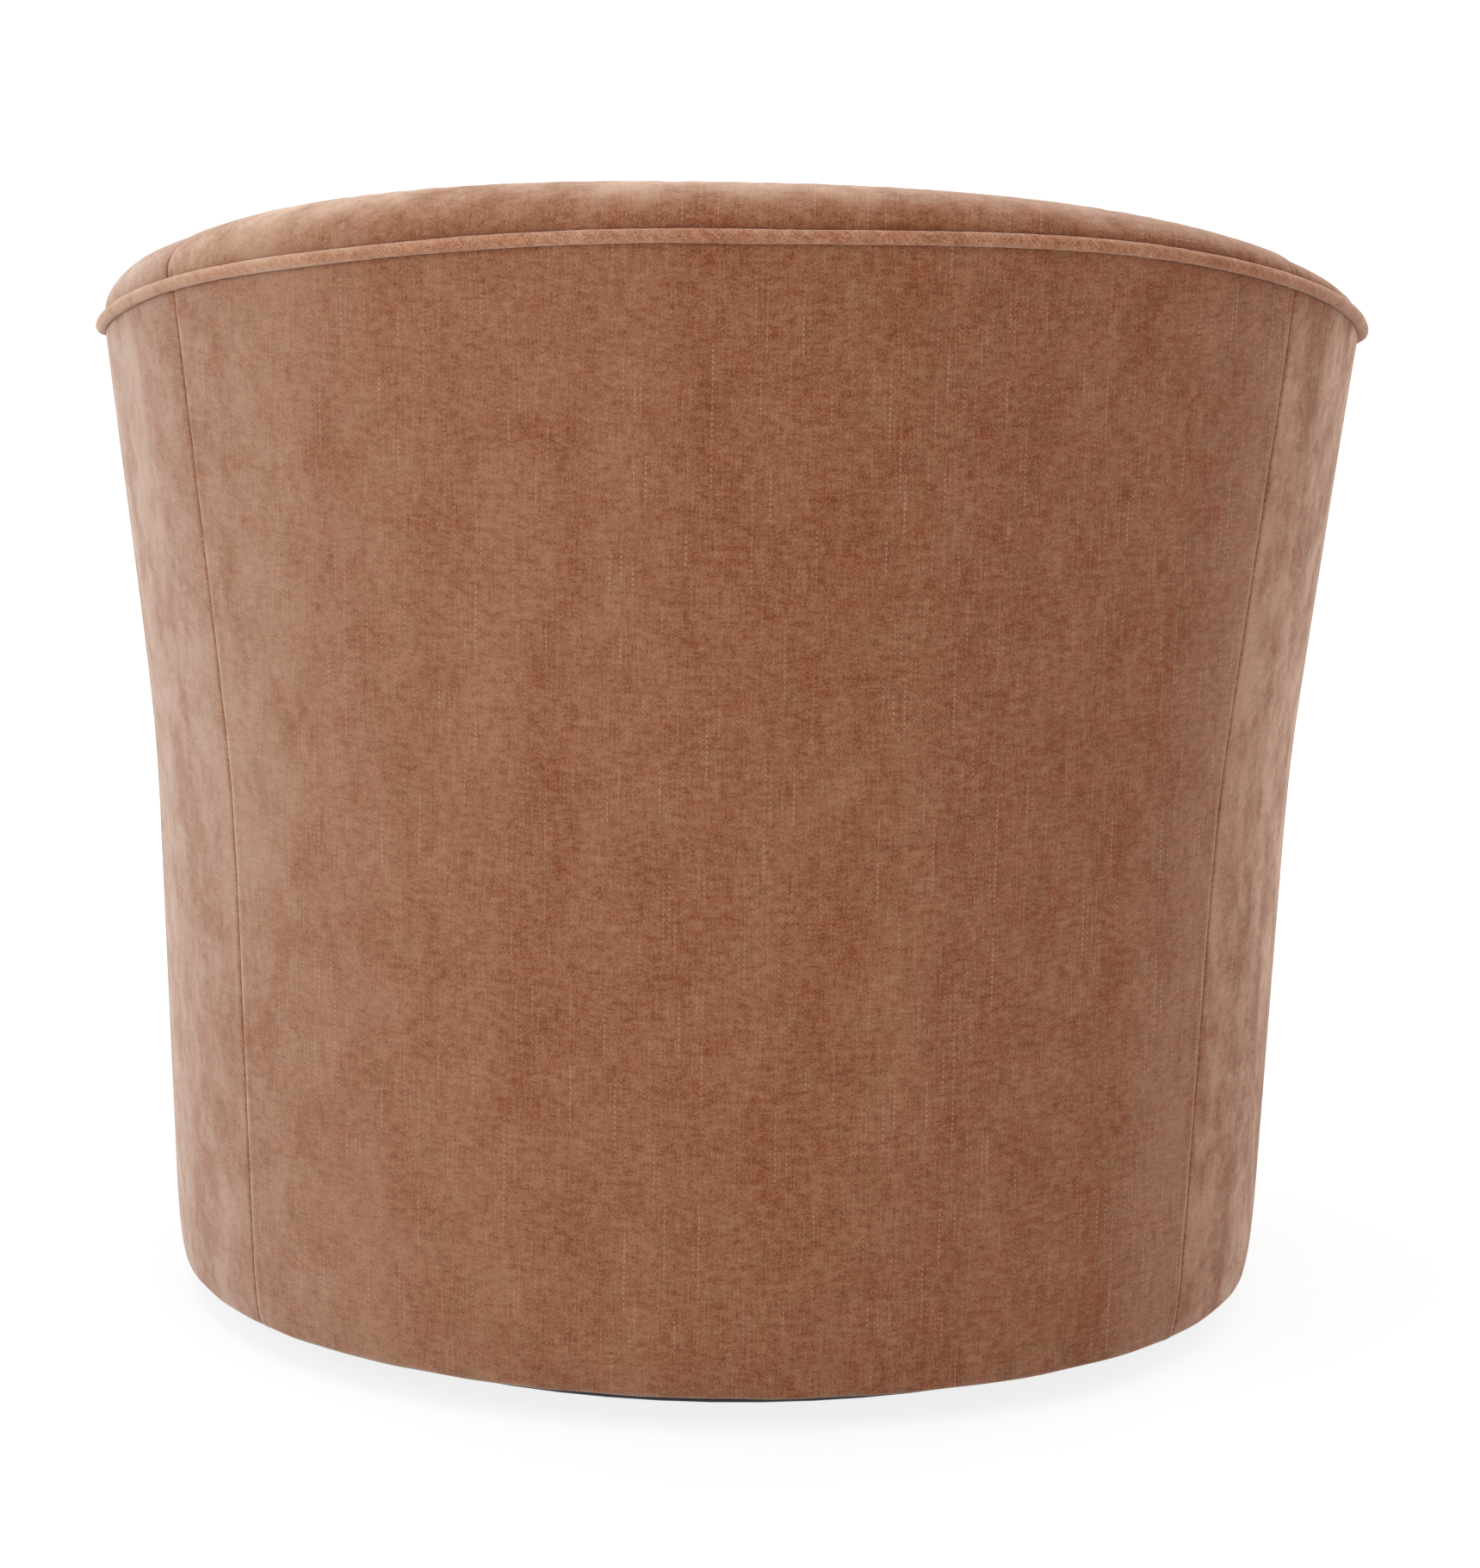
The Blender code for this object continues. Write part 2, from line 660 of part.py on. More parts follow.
def make_springs():
    rail_middle = frame_depth + frame_thickness / 2
    for i, x in enumerate(spring_places()):
        reach = abs(x) + spring_half_width
        start, end = plan_y(reach, rail_middle, True), plan_y(reach, rail_middle, False)
        pitch = (end - start) / spring_loops
        points = []
        for loop in range(spring_loops):
            side = spring_half_width if loop % 2 else -spring_half_width
            points.append((x + side, start + pitch * (loop + spring_bend), spring_height))
            points.append((x + side, start + pitch * (loop + 1 - spring_bend), spring_height))
        rod(f"seat_spring_{i + 1}", points, spring_wire / 2, bright_steel)


def make_webbing():
    def low(angle):
        return seat_rail_top - webbing_lap

    def high(angle):
        return top_rail_bottom(angle) + webbing_lap

    radius = side_radius(seat_rail_top) - webbing_depth
    places = spring_places()
    for i, (before, after) in enumerate(zip(places, places[1:])):
        middle = math.degrees(math.asin((before + after) / 2 / radius))
        half = angle_of(webbing_width / 2, middle)
        wall_sheet(f"back_webbing_{i + 1}", steps(middle - half, middle + half), low, high,
                   webbing_depth, webbing_thickness, elastic)


def well_outline(clear, front):
    """Plan of the seat's well: clear of the inside faces and the noses, then across the front."""
    end = nose_end_angle + angle_of(2 * clear, nose_end_angle)
    angles = steps(-end, end, both_sides(nose_angles))
    points = [inside_point(angle, seat_bend_height, nose_share(angle), clear) for angle in angles]
    turn = nose_end_angle + angle_of(well_corner, nose_end_angle)
    return points + [front(angle) for angle in steps(turn, 360 - turn)]


def make_deck():
    def front(angle):
        return wall_point(angle, deck_bottom, gap)

    flat_board("seat_deck", [well_outline(cushion_clearance, front)], deck_bottom, deck_top,
               chenille, body_group)


# Padding

def crown_section(angle, share, base):
    """Top of the padding from its inside shoulder over the crown to the piping, as (depth, height) points."""
    shoulder = base - rim_shoulder * share
    inset = crown_inset * share
    reach = arm_depth(angle, shoulder, share)
    top = base + crown_rise * share
    outer_start = base + cord_clear + 2 * gap
    outer_depth = groove_depth * share
    points = []
    for i in range(1, crown_inner_steps + 1):
        turn = math.pi / 2 * i / crown_inner_steps
        points.append((inset + (reach - inset) * math.cos(turn),
                       shoulder + (top - shoulder) * math.sin(turn)))
    for i in range(1, crown_outer_steps + 1):
        turn = math.pi / 2 * (1 - i / crown_outer_steps)
        points.append((inset - (inset - outer_depth) * math.cos(turn),
                       outer_start + (top - outer_start) * math.sin(turn)))
    return points


def inside_face(angle, shoulder, share=1.0):
    """The inside face from the bottom of the padding up to its shoulder."""
    levels = [deck_bottom, seat_bend_height]
    levels += [seat_bend_height + (shoulder - seat_bend_height) * k for k in (*face_knots, 1.0)]
    return [inside_point(angle, z, share) for z in levels]


def pad_section(angle):
    """Section of the inside padding, which hooks over the top rail and ends at the piping."""
    rim = rim_height(angle)
    lip = edge_height(angle, -cord_clear) + gap
    lip_depth = cover_thickness + gap
    rail_top = top_rail_top(angle) + gap
    knots = knots_between([deck_bottom], [rim_back_height])
    outside = [(groove_depth - gap, lip), (lip_depth, lip), (lip_depth, rail_top)]
    outside += [(pad_back_depth, z) for z in (rail_top, *knots[::-1], deck_bottom)]
    points = [wall_point(angle, z, depth) for depth, z in outside]
    points += inside_face(angle, rim - rim_shoulder)
    return points + [wall_point(angle, z, depth) for depth, z in crown_section(angle, 1.0, rim)]


def make_pads():
    loft("inside_back_pad",
         [pad_section(a) for a in steps(-back_seam_angle + seam_half, back_seam_angle - seam_half)], chenille)
    angles = steps(back_seam_angle + seam_half, frame_end_angle, corner_angles)
    for side, sign in sides:
        loft(f"inside_arm_pad_{side}", [pad_section(a) for a in mirrored(angles, sign)], chenille)


def nose_section(angle, outer_depth):
    """Section of the padded front of the arm, with the cover that hangs from it to the hem."""
    share = nose_share(angle)
    base = rim_height(angle) - nose_drop * (1 - share)
    low_knots = knots_between([skirt_height], [deck_bottom])
    high_knots = knots_between([deck_bottom], [rim_height(nose_end_angle) - nose_drop])
    back = [(cover_thickness, z) for z in (skirt_height, *low_knots, deck_bottom)]
    points = [wall_point(angle, z, depth) for depth, z in back]
    points += inside_face(angle, base - rim_shoulder * share, share)
    outside = [(max(depth, outer_depth), z) for depth, z in crown_section(angle, share, base)]
    levels = (base, *high_knots[::-1], deck_bottom, *low_knots[::-1], skirt_height)
    outside += [(outer_depth, z) for z in levels]
    return points + [wall_point(angle, z, depth) for depth, z in outside]


def make_noses():
    """The padded fronts of the arms, with a groove for the piping where they meet the outside cover."""
    start, clear = arm_front_angle - piping_half, arm_front_angle + piping_half
    angles = [(start, groove_depth), (clear, groove_depth), (clear + piping_half / 4, 0.0)]
    angles += [(a, 0.0) for a in nose_angles if a > clear + piping_half] + [(nose_end_angle, 0.0)]
    for side, sign in sides:
        ordered = angles if sign > 0 else angles[::-1]
        loft(f"arm_front_{side}", [nose_section(sign * a, depth) for a, depth in ordered], chenille)


# Covers, piping and dust cover

def make_covers():
    def low(angle):
        return skirt_height

    def high(angle):
        return edge_height(angle, cord_clear)

    def border_top(angle):
        return deck_bottom - gap

    wall_sheet("outside_back_cover", steps(-back_seam_angle + seam_half, back_seam_angle - seam_half),
               low, high, 0.0, cover_thickness, chenille)
    front_end = arm_front_angle - piping_half - angle_of(3 * gap, arm_front_angle)
    angles = steps(back_seam_angle + seam_half, front_end, corner_angles)
    for side, sign in sides:
        wall_sheet(f"outside_arm_cover_{side}", mirrored(angles, sign), low, high, 0.0,
                   cover_thickness, chenille)
    start = nose_end_angle + angle_of(2 * gap, nose_end_angle)
    wall_sheet("front_border", steps(start, 360 - start), low, border_top, 0.0, cover_thickness, chenille)


def make_piping():
    """One cord from the hem at the front of one arm, round the rim, to the hem at the other."""
    path = [(a, edge_height(a)) for a in steps(0.0, arm_front_angle, corner_angles)]
    low = skirt_height + piping_radius
    path += [(arm_front_angle, z) for z in (*knots_between([low], [path[-1][1]])[::-1], low)]
    path = [(-a, z) for a, z in path[:0:-1]] + path
    rod("rim_piping", [wall_point(a, z, -piping_stand) for a, z in path], piping_radius, chenille)


def make_dust_cover():
    setback = frame_depth + ring_setback + dust_cover_setback
    outer = [wall_point(a, ring_height, setback) for a in round_angles]
    hole = plate_radius + dust_cover_hole
    turns = [math.radians(a) for a in round_angles]
    inner = [Vector((hole * math.sin(a), hole * math.cos(a))) for a in turns]
    flat_board("dust_cover", [outer, inner], ring_height - gap - dust_cover_thickness, ring_height - gap,
               lining, body_group)


# Loose seat cushion

def make_cushion():
    def front(angle):
        return wall_point(angle, deck_bottom, -cushion_overhang)

    edge = well_outline(cushion_clearance, front)
    middle = Vector((0.0, sum(p.y for p in edge) / len(edge)))
    top = cushion_bottom + cushion_thickness

    def ring(inset, z):
        """The cushion's outline, moved inwards."""
        points = []
        count = len(edge)
        for i, point in enumerate(edge):
            before, after = edge[i - 1], edge[(i + 1) % count]
            along = Vector((after.x - before.x, after.y - before.y)).normalized()
            inwards = Vector((-along.y, along.x))
            if inwards.dot(middle - Vector((point.x, point.y))) < 0:
                inwards = -inwards
            points.append(Vector((point.x + inwards.x * inset, point.y + inwards.y * inset, z)))
        return points

    def shrunk(share, z):
        """The flat face's edge, drawn in towards the middle."""
        base = ring(cushion_edge, z)
        return [Vector((middle.x + (p.x - middle.x) * share, middle.y + (p.y - middle.y) * share, z))
                for p in base]

    rings = [shrunk(share, cushion_bottom) for share in cushion_under_rings]
    for rise, inset in cushion_edge_knots:
        rings.append(ring(cushion_edge * inset, cushion_bottom + cushion_edge * rise))
    rings.append(ring(cushion_draw_in, (cushion_bottom + top) / 2))
    for rise, inset in cushion_edge_knots[::-1]:
        rings.append(ring(cushion_edge * inset, top - cushion_edge * rise))
    for share in cushion_top_rings:
        rings.append(shrunk(share, top + cushion_crown * (1 - share ** 2)))
    loft("seat_cushion", rings, chenille, cushion_group)


make_stand()
make_frame()
make_swivel()
make_springs()
make_webbing()
make_deck()
make_pads()
make_noses()
make_covers()
make_piping()
make_dust_cover()
make_cushion()
bpy.context.view_layer.update()
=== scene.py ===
# Swivel barrel chair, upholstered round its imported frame.
# Metres, +Z up. The chair faces -Y, and the photograph looks at its back.

import math
from functools import partial

import bpy
from mathutils import Matrix, Vector, noise
from mathutils.kdtree import KDTree


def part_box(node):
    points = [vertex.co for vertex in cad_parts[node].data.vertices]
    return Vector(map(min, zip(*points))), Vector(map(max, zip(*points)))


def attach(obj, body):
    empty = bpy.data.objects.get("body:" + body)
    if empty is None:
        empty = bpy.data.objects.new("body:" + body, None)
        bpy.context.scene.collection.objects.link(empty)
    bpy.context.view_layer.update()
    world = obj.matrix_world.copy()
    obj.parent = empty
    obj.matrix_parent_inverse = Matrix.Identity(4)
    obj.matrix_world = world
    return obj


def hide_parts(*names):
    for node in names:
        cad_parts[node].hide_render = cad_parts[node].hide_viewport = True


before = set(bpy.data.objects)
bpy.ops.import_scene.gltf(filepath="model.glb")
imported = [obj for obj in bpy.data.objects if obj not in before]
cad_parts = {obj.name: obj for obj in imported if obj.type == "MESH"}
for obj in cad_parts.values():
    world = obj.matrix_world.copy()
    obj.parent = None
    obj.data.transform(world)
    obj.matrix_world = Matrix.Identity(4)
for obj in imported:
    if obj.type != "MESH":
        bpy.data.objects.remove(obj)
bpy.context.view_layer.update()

# The barrel wall, as the frame has it: an angle round the plan (0 at the middle of the back,
# 90 at +X, 180 at the front), a height, and a depth measured inwards from the outer cover.
wall = {
    "baseRadius": 0.3390, "lowerSlope": 0.040, "flareSlope": 0.123, "flareStart": 0.350,
    "flareSoftness": 0.020, "hemTuck": 0.004, "hemHeight": 0.015, "frontReach": 0.030,
    "frontSquareness": 2.8, "rimBack": 0.7015, "rimSide": 0.591, "rimBow": 1.1, "armSlope": 0.140,
    "armEaseStart": 0.060, "armEaseLength": 0.030,
    "rimThickness": 0.088, "rimShoulder": 0.026, "armThickness": 0.092, "backThickness": 0.185,
    "seatBend": 0.430, "crownRise": 0.027, "crownInset": 0.037, "backSeam": 57.0, "armFront": 130.0,
    "noseEnd": 148.0, "noseTip": 0.16, "noseSkin": 0.0015, "noseDrop": 0.030,
    "cordRadius": 0.0040, "cordStand": 0.0030, "cordCorner": 0.034, "coverThickness": 0.003,
    "padBack": 0.0315, "railDrop": 0.0062, "gap": 0.0003,
    "sewnShift": 0.0066, "sewnReach": 40.0, "sewnFrontReach": 65.0,
    "driftRight": (1.3, 2.8), "driftLeft": (0.0, 1.2), "driftReach": 25.0,
}
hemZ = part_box("outside_back_cover")[0].z
deckLow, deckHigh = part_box("seat_deck")
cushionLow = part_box("seat_cushion")[0]
slopeReach = 0.5          # degrees to either side, over which the wall's direction is taken
midHeight = 0.28          # where degrees and metres are matched, unless a height is given


def sideRadius(z):
    rise = z - hemZ
    bend = wall["flareSoftness"] * math.log1p(math.exp((z - wall["flareStart"]) / wall["flareSoftness"]))
    hem = wall["hemTuck"] * math.exp(-max(rise, 0.0) / wall["hemHeight"])
    flare = (wall["flareSlope"] - wall["lowerSlope"]) * bend
    return wall["baseRadius"] + wall["lowerSlope"] * rise + flare - hem


def outline(angle, z):
    radius = sideRadius(z)
    s, c = math.sin(math.radians(angle)), math.cos(math.radians(angle))
    if c >= 0:
        return Vector((radius * s, radius * c))
    power = 2 / wall["frontSquareness"]
    forward = (radius + wall["frontReach"]) * abs(c) ** power
    return Vector((math.copysign(radius * abs(s) ** power, s), -forward))


def wallPoint(angle, z, depth):
    low, high = outline(angle, hemZ), outline(angle, wall["rimSide"])
    across = (high - low).normalized()
    along = outline(angle + slopeReach, z) - outline(angle - slopeReach, z)
    square = Vector((-along.y, along.x)).normalized()
    flat = outline(angle, z) - across * depth / across.dot(square)
    return Vector((flat.x, flat.y, z))


def angleOf(width, angle, z=midHeight):
    # how many degrees of the wall this width takes up there
    across = (outline(angle + slopeReach, z) - outline(angle - slopeReach, z)).length
    return width * 2 * slopeReach / across


def eased(share):
    # the same share with a soft start and end
    return share * share * (3 - 2 * share)


def rimHeight(angle):
    # a steady slant from the back to the sides, gentler along the arms
    fall = wall["rimBack"] - wall["rimSide"]
    radius = sideRadius(wall["rimSide"])
    slope = fall * wall["rimBow"] / radius
    y = outline(angle, wall["rimSide"]).y
    away = max(0.0, 1 - max(y, 0.0) / radius)
    slant = wall["rimBack"] - fall * away ** wall["rimBow"] + slope * min(y, 0.0)
    ease = wall["armEaseLength"]
    gained = ease * math.log1p(math.exp((wall["armEaseStart"] - y) / ease))
    return slant + (slope - wall["armSlope"]) * gained


def sewnShift(angle):
    # how much higher the piping is sewn than it should be: the photo's chair has it lower at +X
    away = min(1.0, abs(angle) / wall["sewnReach"])
    toFront = min(1.0, max(0.0, (wall["armFront"] - abs(angle)) / wall["sewnFrontReach"]))
    return -math.copysign(wall["sewnShift"] * eased(away) * eased(toFront), angle)


def seamDrift(angle, z):
    # the outside seams run nearer the middle of the back than those on the rim, most of all low down
    top, low = wall["driftRight"] if angle > 0 else wall["driftLeft"]
    share = (z - hemZ) / (wall["rimSide"] - hemZ)
    near = max(0.0, 1 - abs(abs(angle) - wall["backSeam"]) / wall["driftReach"])
    return -math.copysign(near * (low + (top - low) * share), angle)


def edgeHeight(angle, inside=0.0):
    run = (wall["armFront"] - abs(angle)) / angleOf(1.0, wall["armFront"], wall["rimSide"]) - inside
    radius = wall["cordCorner"] - inside
    drop = 0.0
    if run < radius:
        drop = radius - math.sqrt(max(0.0, radius ** 2 - (radius - max(run, 0.0)) ** 2))
    return rimHeight(angle) + sewnShift(angle) - inside - drop


def insideDepth(angle, z):
    start = rimHeight(angle) - wall["rimShoulder"]
    share = eased(min(1.0, max(0.0, (start - z) / (start - wall["seatBend"]))))
    middle = max(0.0, math.cos(math.radians(angle))) ** 2
    full = wall["armThickness"] + (wall["backThickness"] - wall["armThickness"]) * middle
    return wall["rimThickness"] + (full - wall["rimThickness"]) * share


def armDepth(angle, z, share):
    lean = sideRadius(wall["seatBend"]) - sideRadius(deckLow.z)
    return max(insideDepth(angle, z) * share, lean + wall["noseSkin"])


def facePoint(angle, z, depth):
    # the inside faces stand upright below the seat's height
    flat = wallPoint(angle, max(z, wall["seatBend"]), depth)
    return Vector((flat.x, flat.y, z))


def noseShare(angle):
    run = (abs(angle) - wall["armFront"]) / (wall["noseEnd"] - wall["armFront"])
    run = min(1.0, max(0.0, run))
    return max(wall["noseTip"], math.sqrt(1 - run * run))


def spread(first, last, step):
    count = max(1, round(abs(last - first) / step))
    return [first + (last - first) * i / count for i in range(count + 1)]


def ripple(x, y, z, size):
    # smooth unevenness of stretched cloth, between -1 and 1, in waves of about this size
    return noise.noise(Vector((x, y, z)) / size)


# Making and finishing cloth pieces

def meshPiece(name, points, faces, threads):
    # threads gives each point's place on the cloth in metres, for the weave
    mesh = bpy.data.meshes.new(name)
    mesh.from_pydata(points, [], faces)
    layer = mesh.uv_layers.new(name="threadMap")
    for loop in mesh.loops:
        layer.data[loop.index].uv = threads[loop.vertex_index]
    mesh.shade_smooth()
    piece = bpy.data.objects.new(name, mesh)
    bpy.context.scene.collection.objects.link(piece)
    return piece


def pickOnly(piece):
    bpy.ops.object.select_all(action="DESELECT")
    piece.select_set(True)
    bpy.context.view_layer.objects.active = piece


def applyAll(piece):
    pickOnly(piece)
    for modifier in list(piece.modifiers):
        bpy.ops.object.modifier_apply(modifier=modifier.name)


def outwards(piece):
    pickOnly(piece)
    bpy.ops.object.mode_set(mode="EDIT")
    bpy.ops.mesh.select_all(action="SELECT")
    bpy.ops.mesh.normals_make_consistent(inside=False)
    bpy.ops.object.mode_set(mode="OBJECT")


def clothGrid(name, columns, rows, place, thickness):
    # columns and rows are the lines of the cloth, and place puts their crossings in space
    points, threads = [], []
    for row in rows:
        line = [place(column, row) for column in columns]
        middle = len(line) // 2
        run = [0.0]
        for near, far in zip(line, line[1:]):
            run.append(run[-1] + (far - near).length)
        points += line
        threads += [(along - run[middle], point.z) for along, point in zip(run, line)]
    wide = len(columns)
    faces = [(r * wide + c, r * wide + c + 1, (r + 1) * wide + c + 1, (r + 1) * wide + c)
             for r in range(len(rows) - 1) for c in range(wide - 1)]
    piece = meshPiece(name, points, faces, threads)
    solid = piece.modifiers.new("cloth thickness", "SOLIDIFY")
    solid.thickness = thickness
    solid.offset = -1
    applyAll(piece)
    return piece


def dress(piece, body, slot, material, *nodes):
    piece.data.materials.clear()
    piece.data.materials.append(material)
    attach(piece, body)
    if nodes:
        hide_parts(*nodes)


# Materials

def hexColour(code):
    channels = [int(code[i:i + 2], 16) / 255 for i in (1, 3, 5)]
    linear = [c / 12.92 if c <= 0.04045 else ((c + 0.055) / 1.055) ** 2.4 for c in channels]
    return (*linear, 1.0)


def addNode(tree, kind, inputs=None, **settings):
    # a node as an input is linked from its first output in use, a socket from itself
    node = tree.nodes.new("ShaderNode" + kind)
    for name, value in settings.items():
        setattr(node, name, value)
    for socket, value in (inputs or {}).items():
        if isinstance(value, bpy.types.Node):
            value = next(output for output in value.outputs if output.enabled)
        if isinstance(value, bpy.types.NodeSocket):
            tree.links.new(value, node.inputs[socket])
        else:
            node.inputs[socket].default_value = value
    return node


def newMaterial(name):
    material = bpy.data.materials.new(name)
    material.use_nodes = True
    material.node_tree.nodes.clear()
    return material, partial(addNode, material.node_tree)


def inMillimetres(add, source=None):
    # the place on the piece, unless another source is given
    return add("VectorMath", {0: source or add("TexCoord").outputs["Object"], 3: 1000.0}, operation="SCALE")


def patches(add, source, size, detail=2.0, rough=0.5):
    # noise whose patches have this size in mm along each of the source's axes
    scaled = add("VectorMath", {0: source, 1: [1 / s for s in size]}, operation="MULTIPLY")
    return add("TexNoise", {"Vector": scaled, "Scale": 1.0, "Detail": detail, "Roughness": rough})


def finished(material, add, look, tone, relief=None, wear=None):
    # shades between dark and pale by tone; where wear is given, the roughness follows it
    shades = add("Mix", {0: tone, 6: hexColour(look["dark"]), 7: hexColour(look["pale"])}, data_type="RGBA")
    inputs = {"Base Color": shades, "Roughness": look["rough"], "Metallic": look.get("metallic", 0.0),
              "Specular IOR Level": look.get("specular", 0.5)}
    if wear:
        low, high = look["rough"]
        inputs["Roughness"] = add("MapRange", {"Value": wear, "To Min": low, "To Max": high})
    if relief:
        strength, deep = look["relief"]
        inputs["Normal"] = add("Bump", {"Strength": strength, "Distance": deep, "Height": relief})
    add("OutputMaterial", {0: add("BsdfPrincipled", inputs)})
    return material


# Each pattern is its size in mm along the cloth, up it and through it, its detail and its roughness.
chenilleLook = {
    "rust": "#7d4023", "dust": "#b08060", "blotchRed": "#893d25", "blotchTan": "#7a4728",
    # on the next line, the second colour is the painted sheen's pale colour, mixed in where the cloth is seen
    # edge on
    "slub": "#d2ab90", "napAndSheen": "#dcc6ba", "sheenTint": "#f4dece",
    "mottle": ((8.0, 4.0, 1.0), 4.0, 0.72),        # the weft's flecks
    "ribs": ((1.2, 20.0, 1.0), 2.0, 0.5),          # the warp's fine lines
    "specks": ((1.2, 1.2, 1.0), 3.0, 0.75),        # single tufts
    "blotches": ((20.0, 15.0, 10.0), 3.0, 0.6),    # where more red or more tan yarn lies
    "clouds": ((30.0, 30.0, 36.0), 6.0, 0.78),     # where the nap lies another way
    "bands": ((60.0, 60.0, 300.0), 3.0, 0.5),      # broad upright bands of the same
    "speckShare": 0.6, "ribShare": 0.14, "bandShare": 0.35, "napTone": 0.22, "blotchShare": 0.5,
    "toneSpan": (0.42, 0.58), "yarnSpan": (0.42, 0.58), "laySpan": (0.42, 0.58),
    # the yarn's own dots are 2.3 mm apart and would be lost, so they are drawn 3.2 mm apart
    "slubPitch": 3.3, "slubWide": 1.0, "slubDot": 3.2, "slubLong": 45.0, "slubApart": 7.31,
    "slubEdge": (1.25, 0.6), "slubSpan": (0.52, 0.66), "slubDots": (-0.6, 0.5), "slubShare": 0.58,
    "paintedSideLight": 0.024, "paintedSideSheen": 24.0, "paintedSideReach": 250.0,    # painted light: the cloth is paler on its +X side, which the key lamp lights
    # the painted sheen: how much shows edge on, its share where the clouds lie low, and how closely it keeps
    # to the edges
    "paintedSheenShare": 0.62, "paintedSheenLow": 0.32, "paintedSheenEdge": 1.8,
    "rough": 0.92, "specular": 0.12, "sheen": 0.55, "sheenRough": 0.42, "relief": (0.45, 0.0008),
}
# painted sheen and painted side light retuned for the outside of the -X arm, on the side away from the key
# lamp
shadedSideLook = {"paintedSheenShare": 1.1, "paintedSheenLow": 0.05, "napAndSheen": "#dab49c", "sheen": 0.5, "paintedSideSheen": 6.0}
# painted sheen retuned for the padded crowns: more of it, reaching further in from the edges, and less where
# the clouds lie low
rolledLook = {"paintedSheenShare": 0.74, "paintedSheenLow": 0.18, "paintedSheenEdge": 1.1, "napAndSheen": "#dcbda8"}
# the piping's cloth: paler yarn, no slubs, and less painted sheen
biasLook = {"rust": "#a16041", "dust": "#cc9d7c", "slubShare": 0.0, "paintedSheenShare": 0.45}


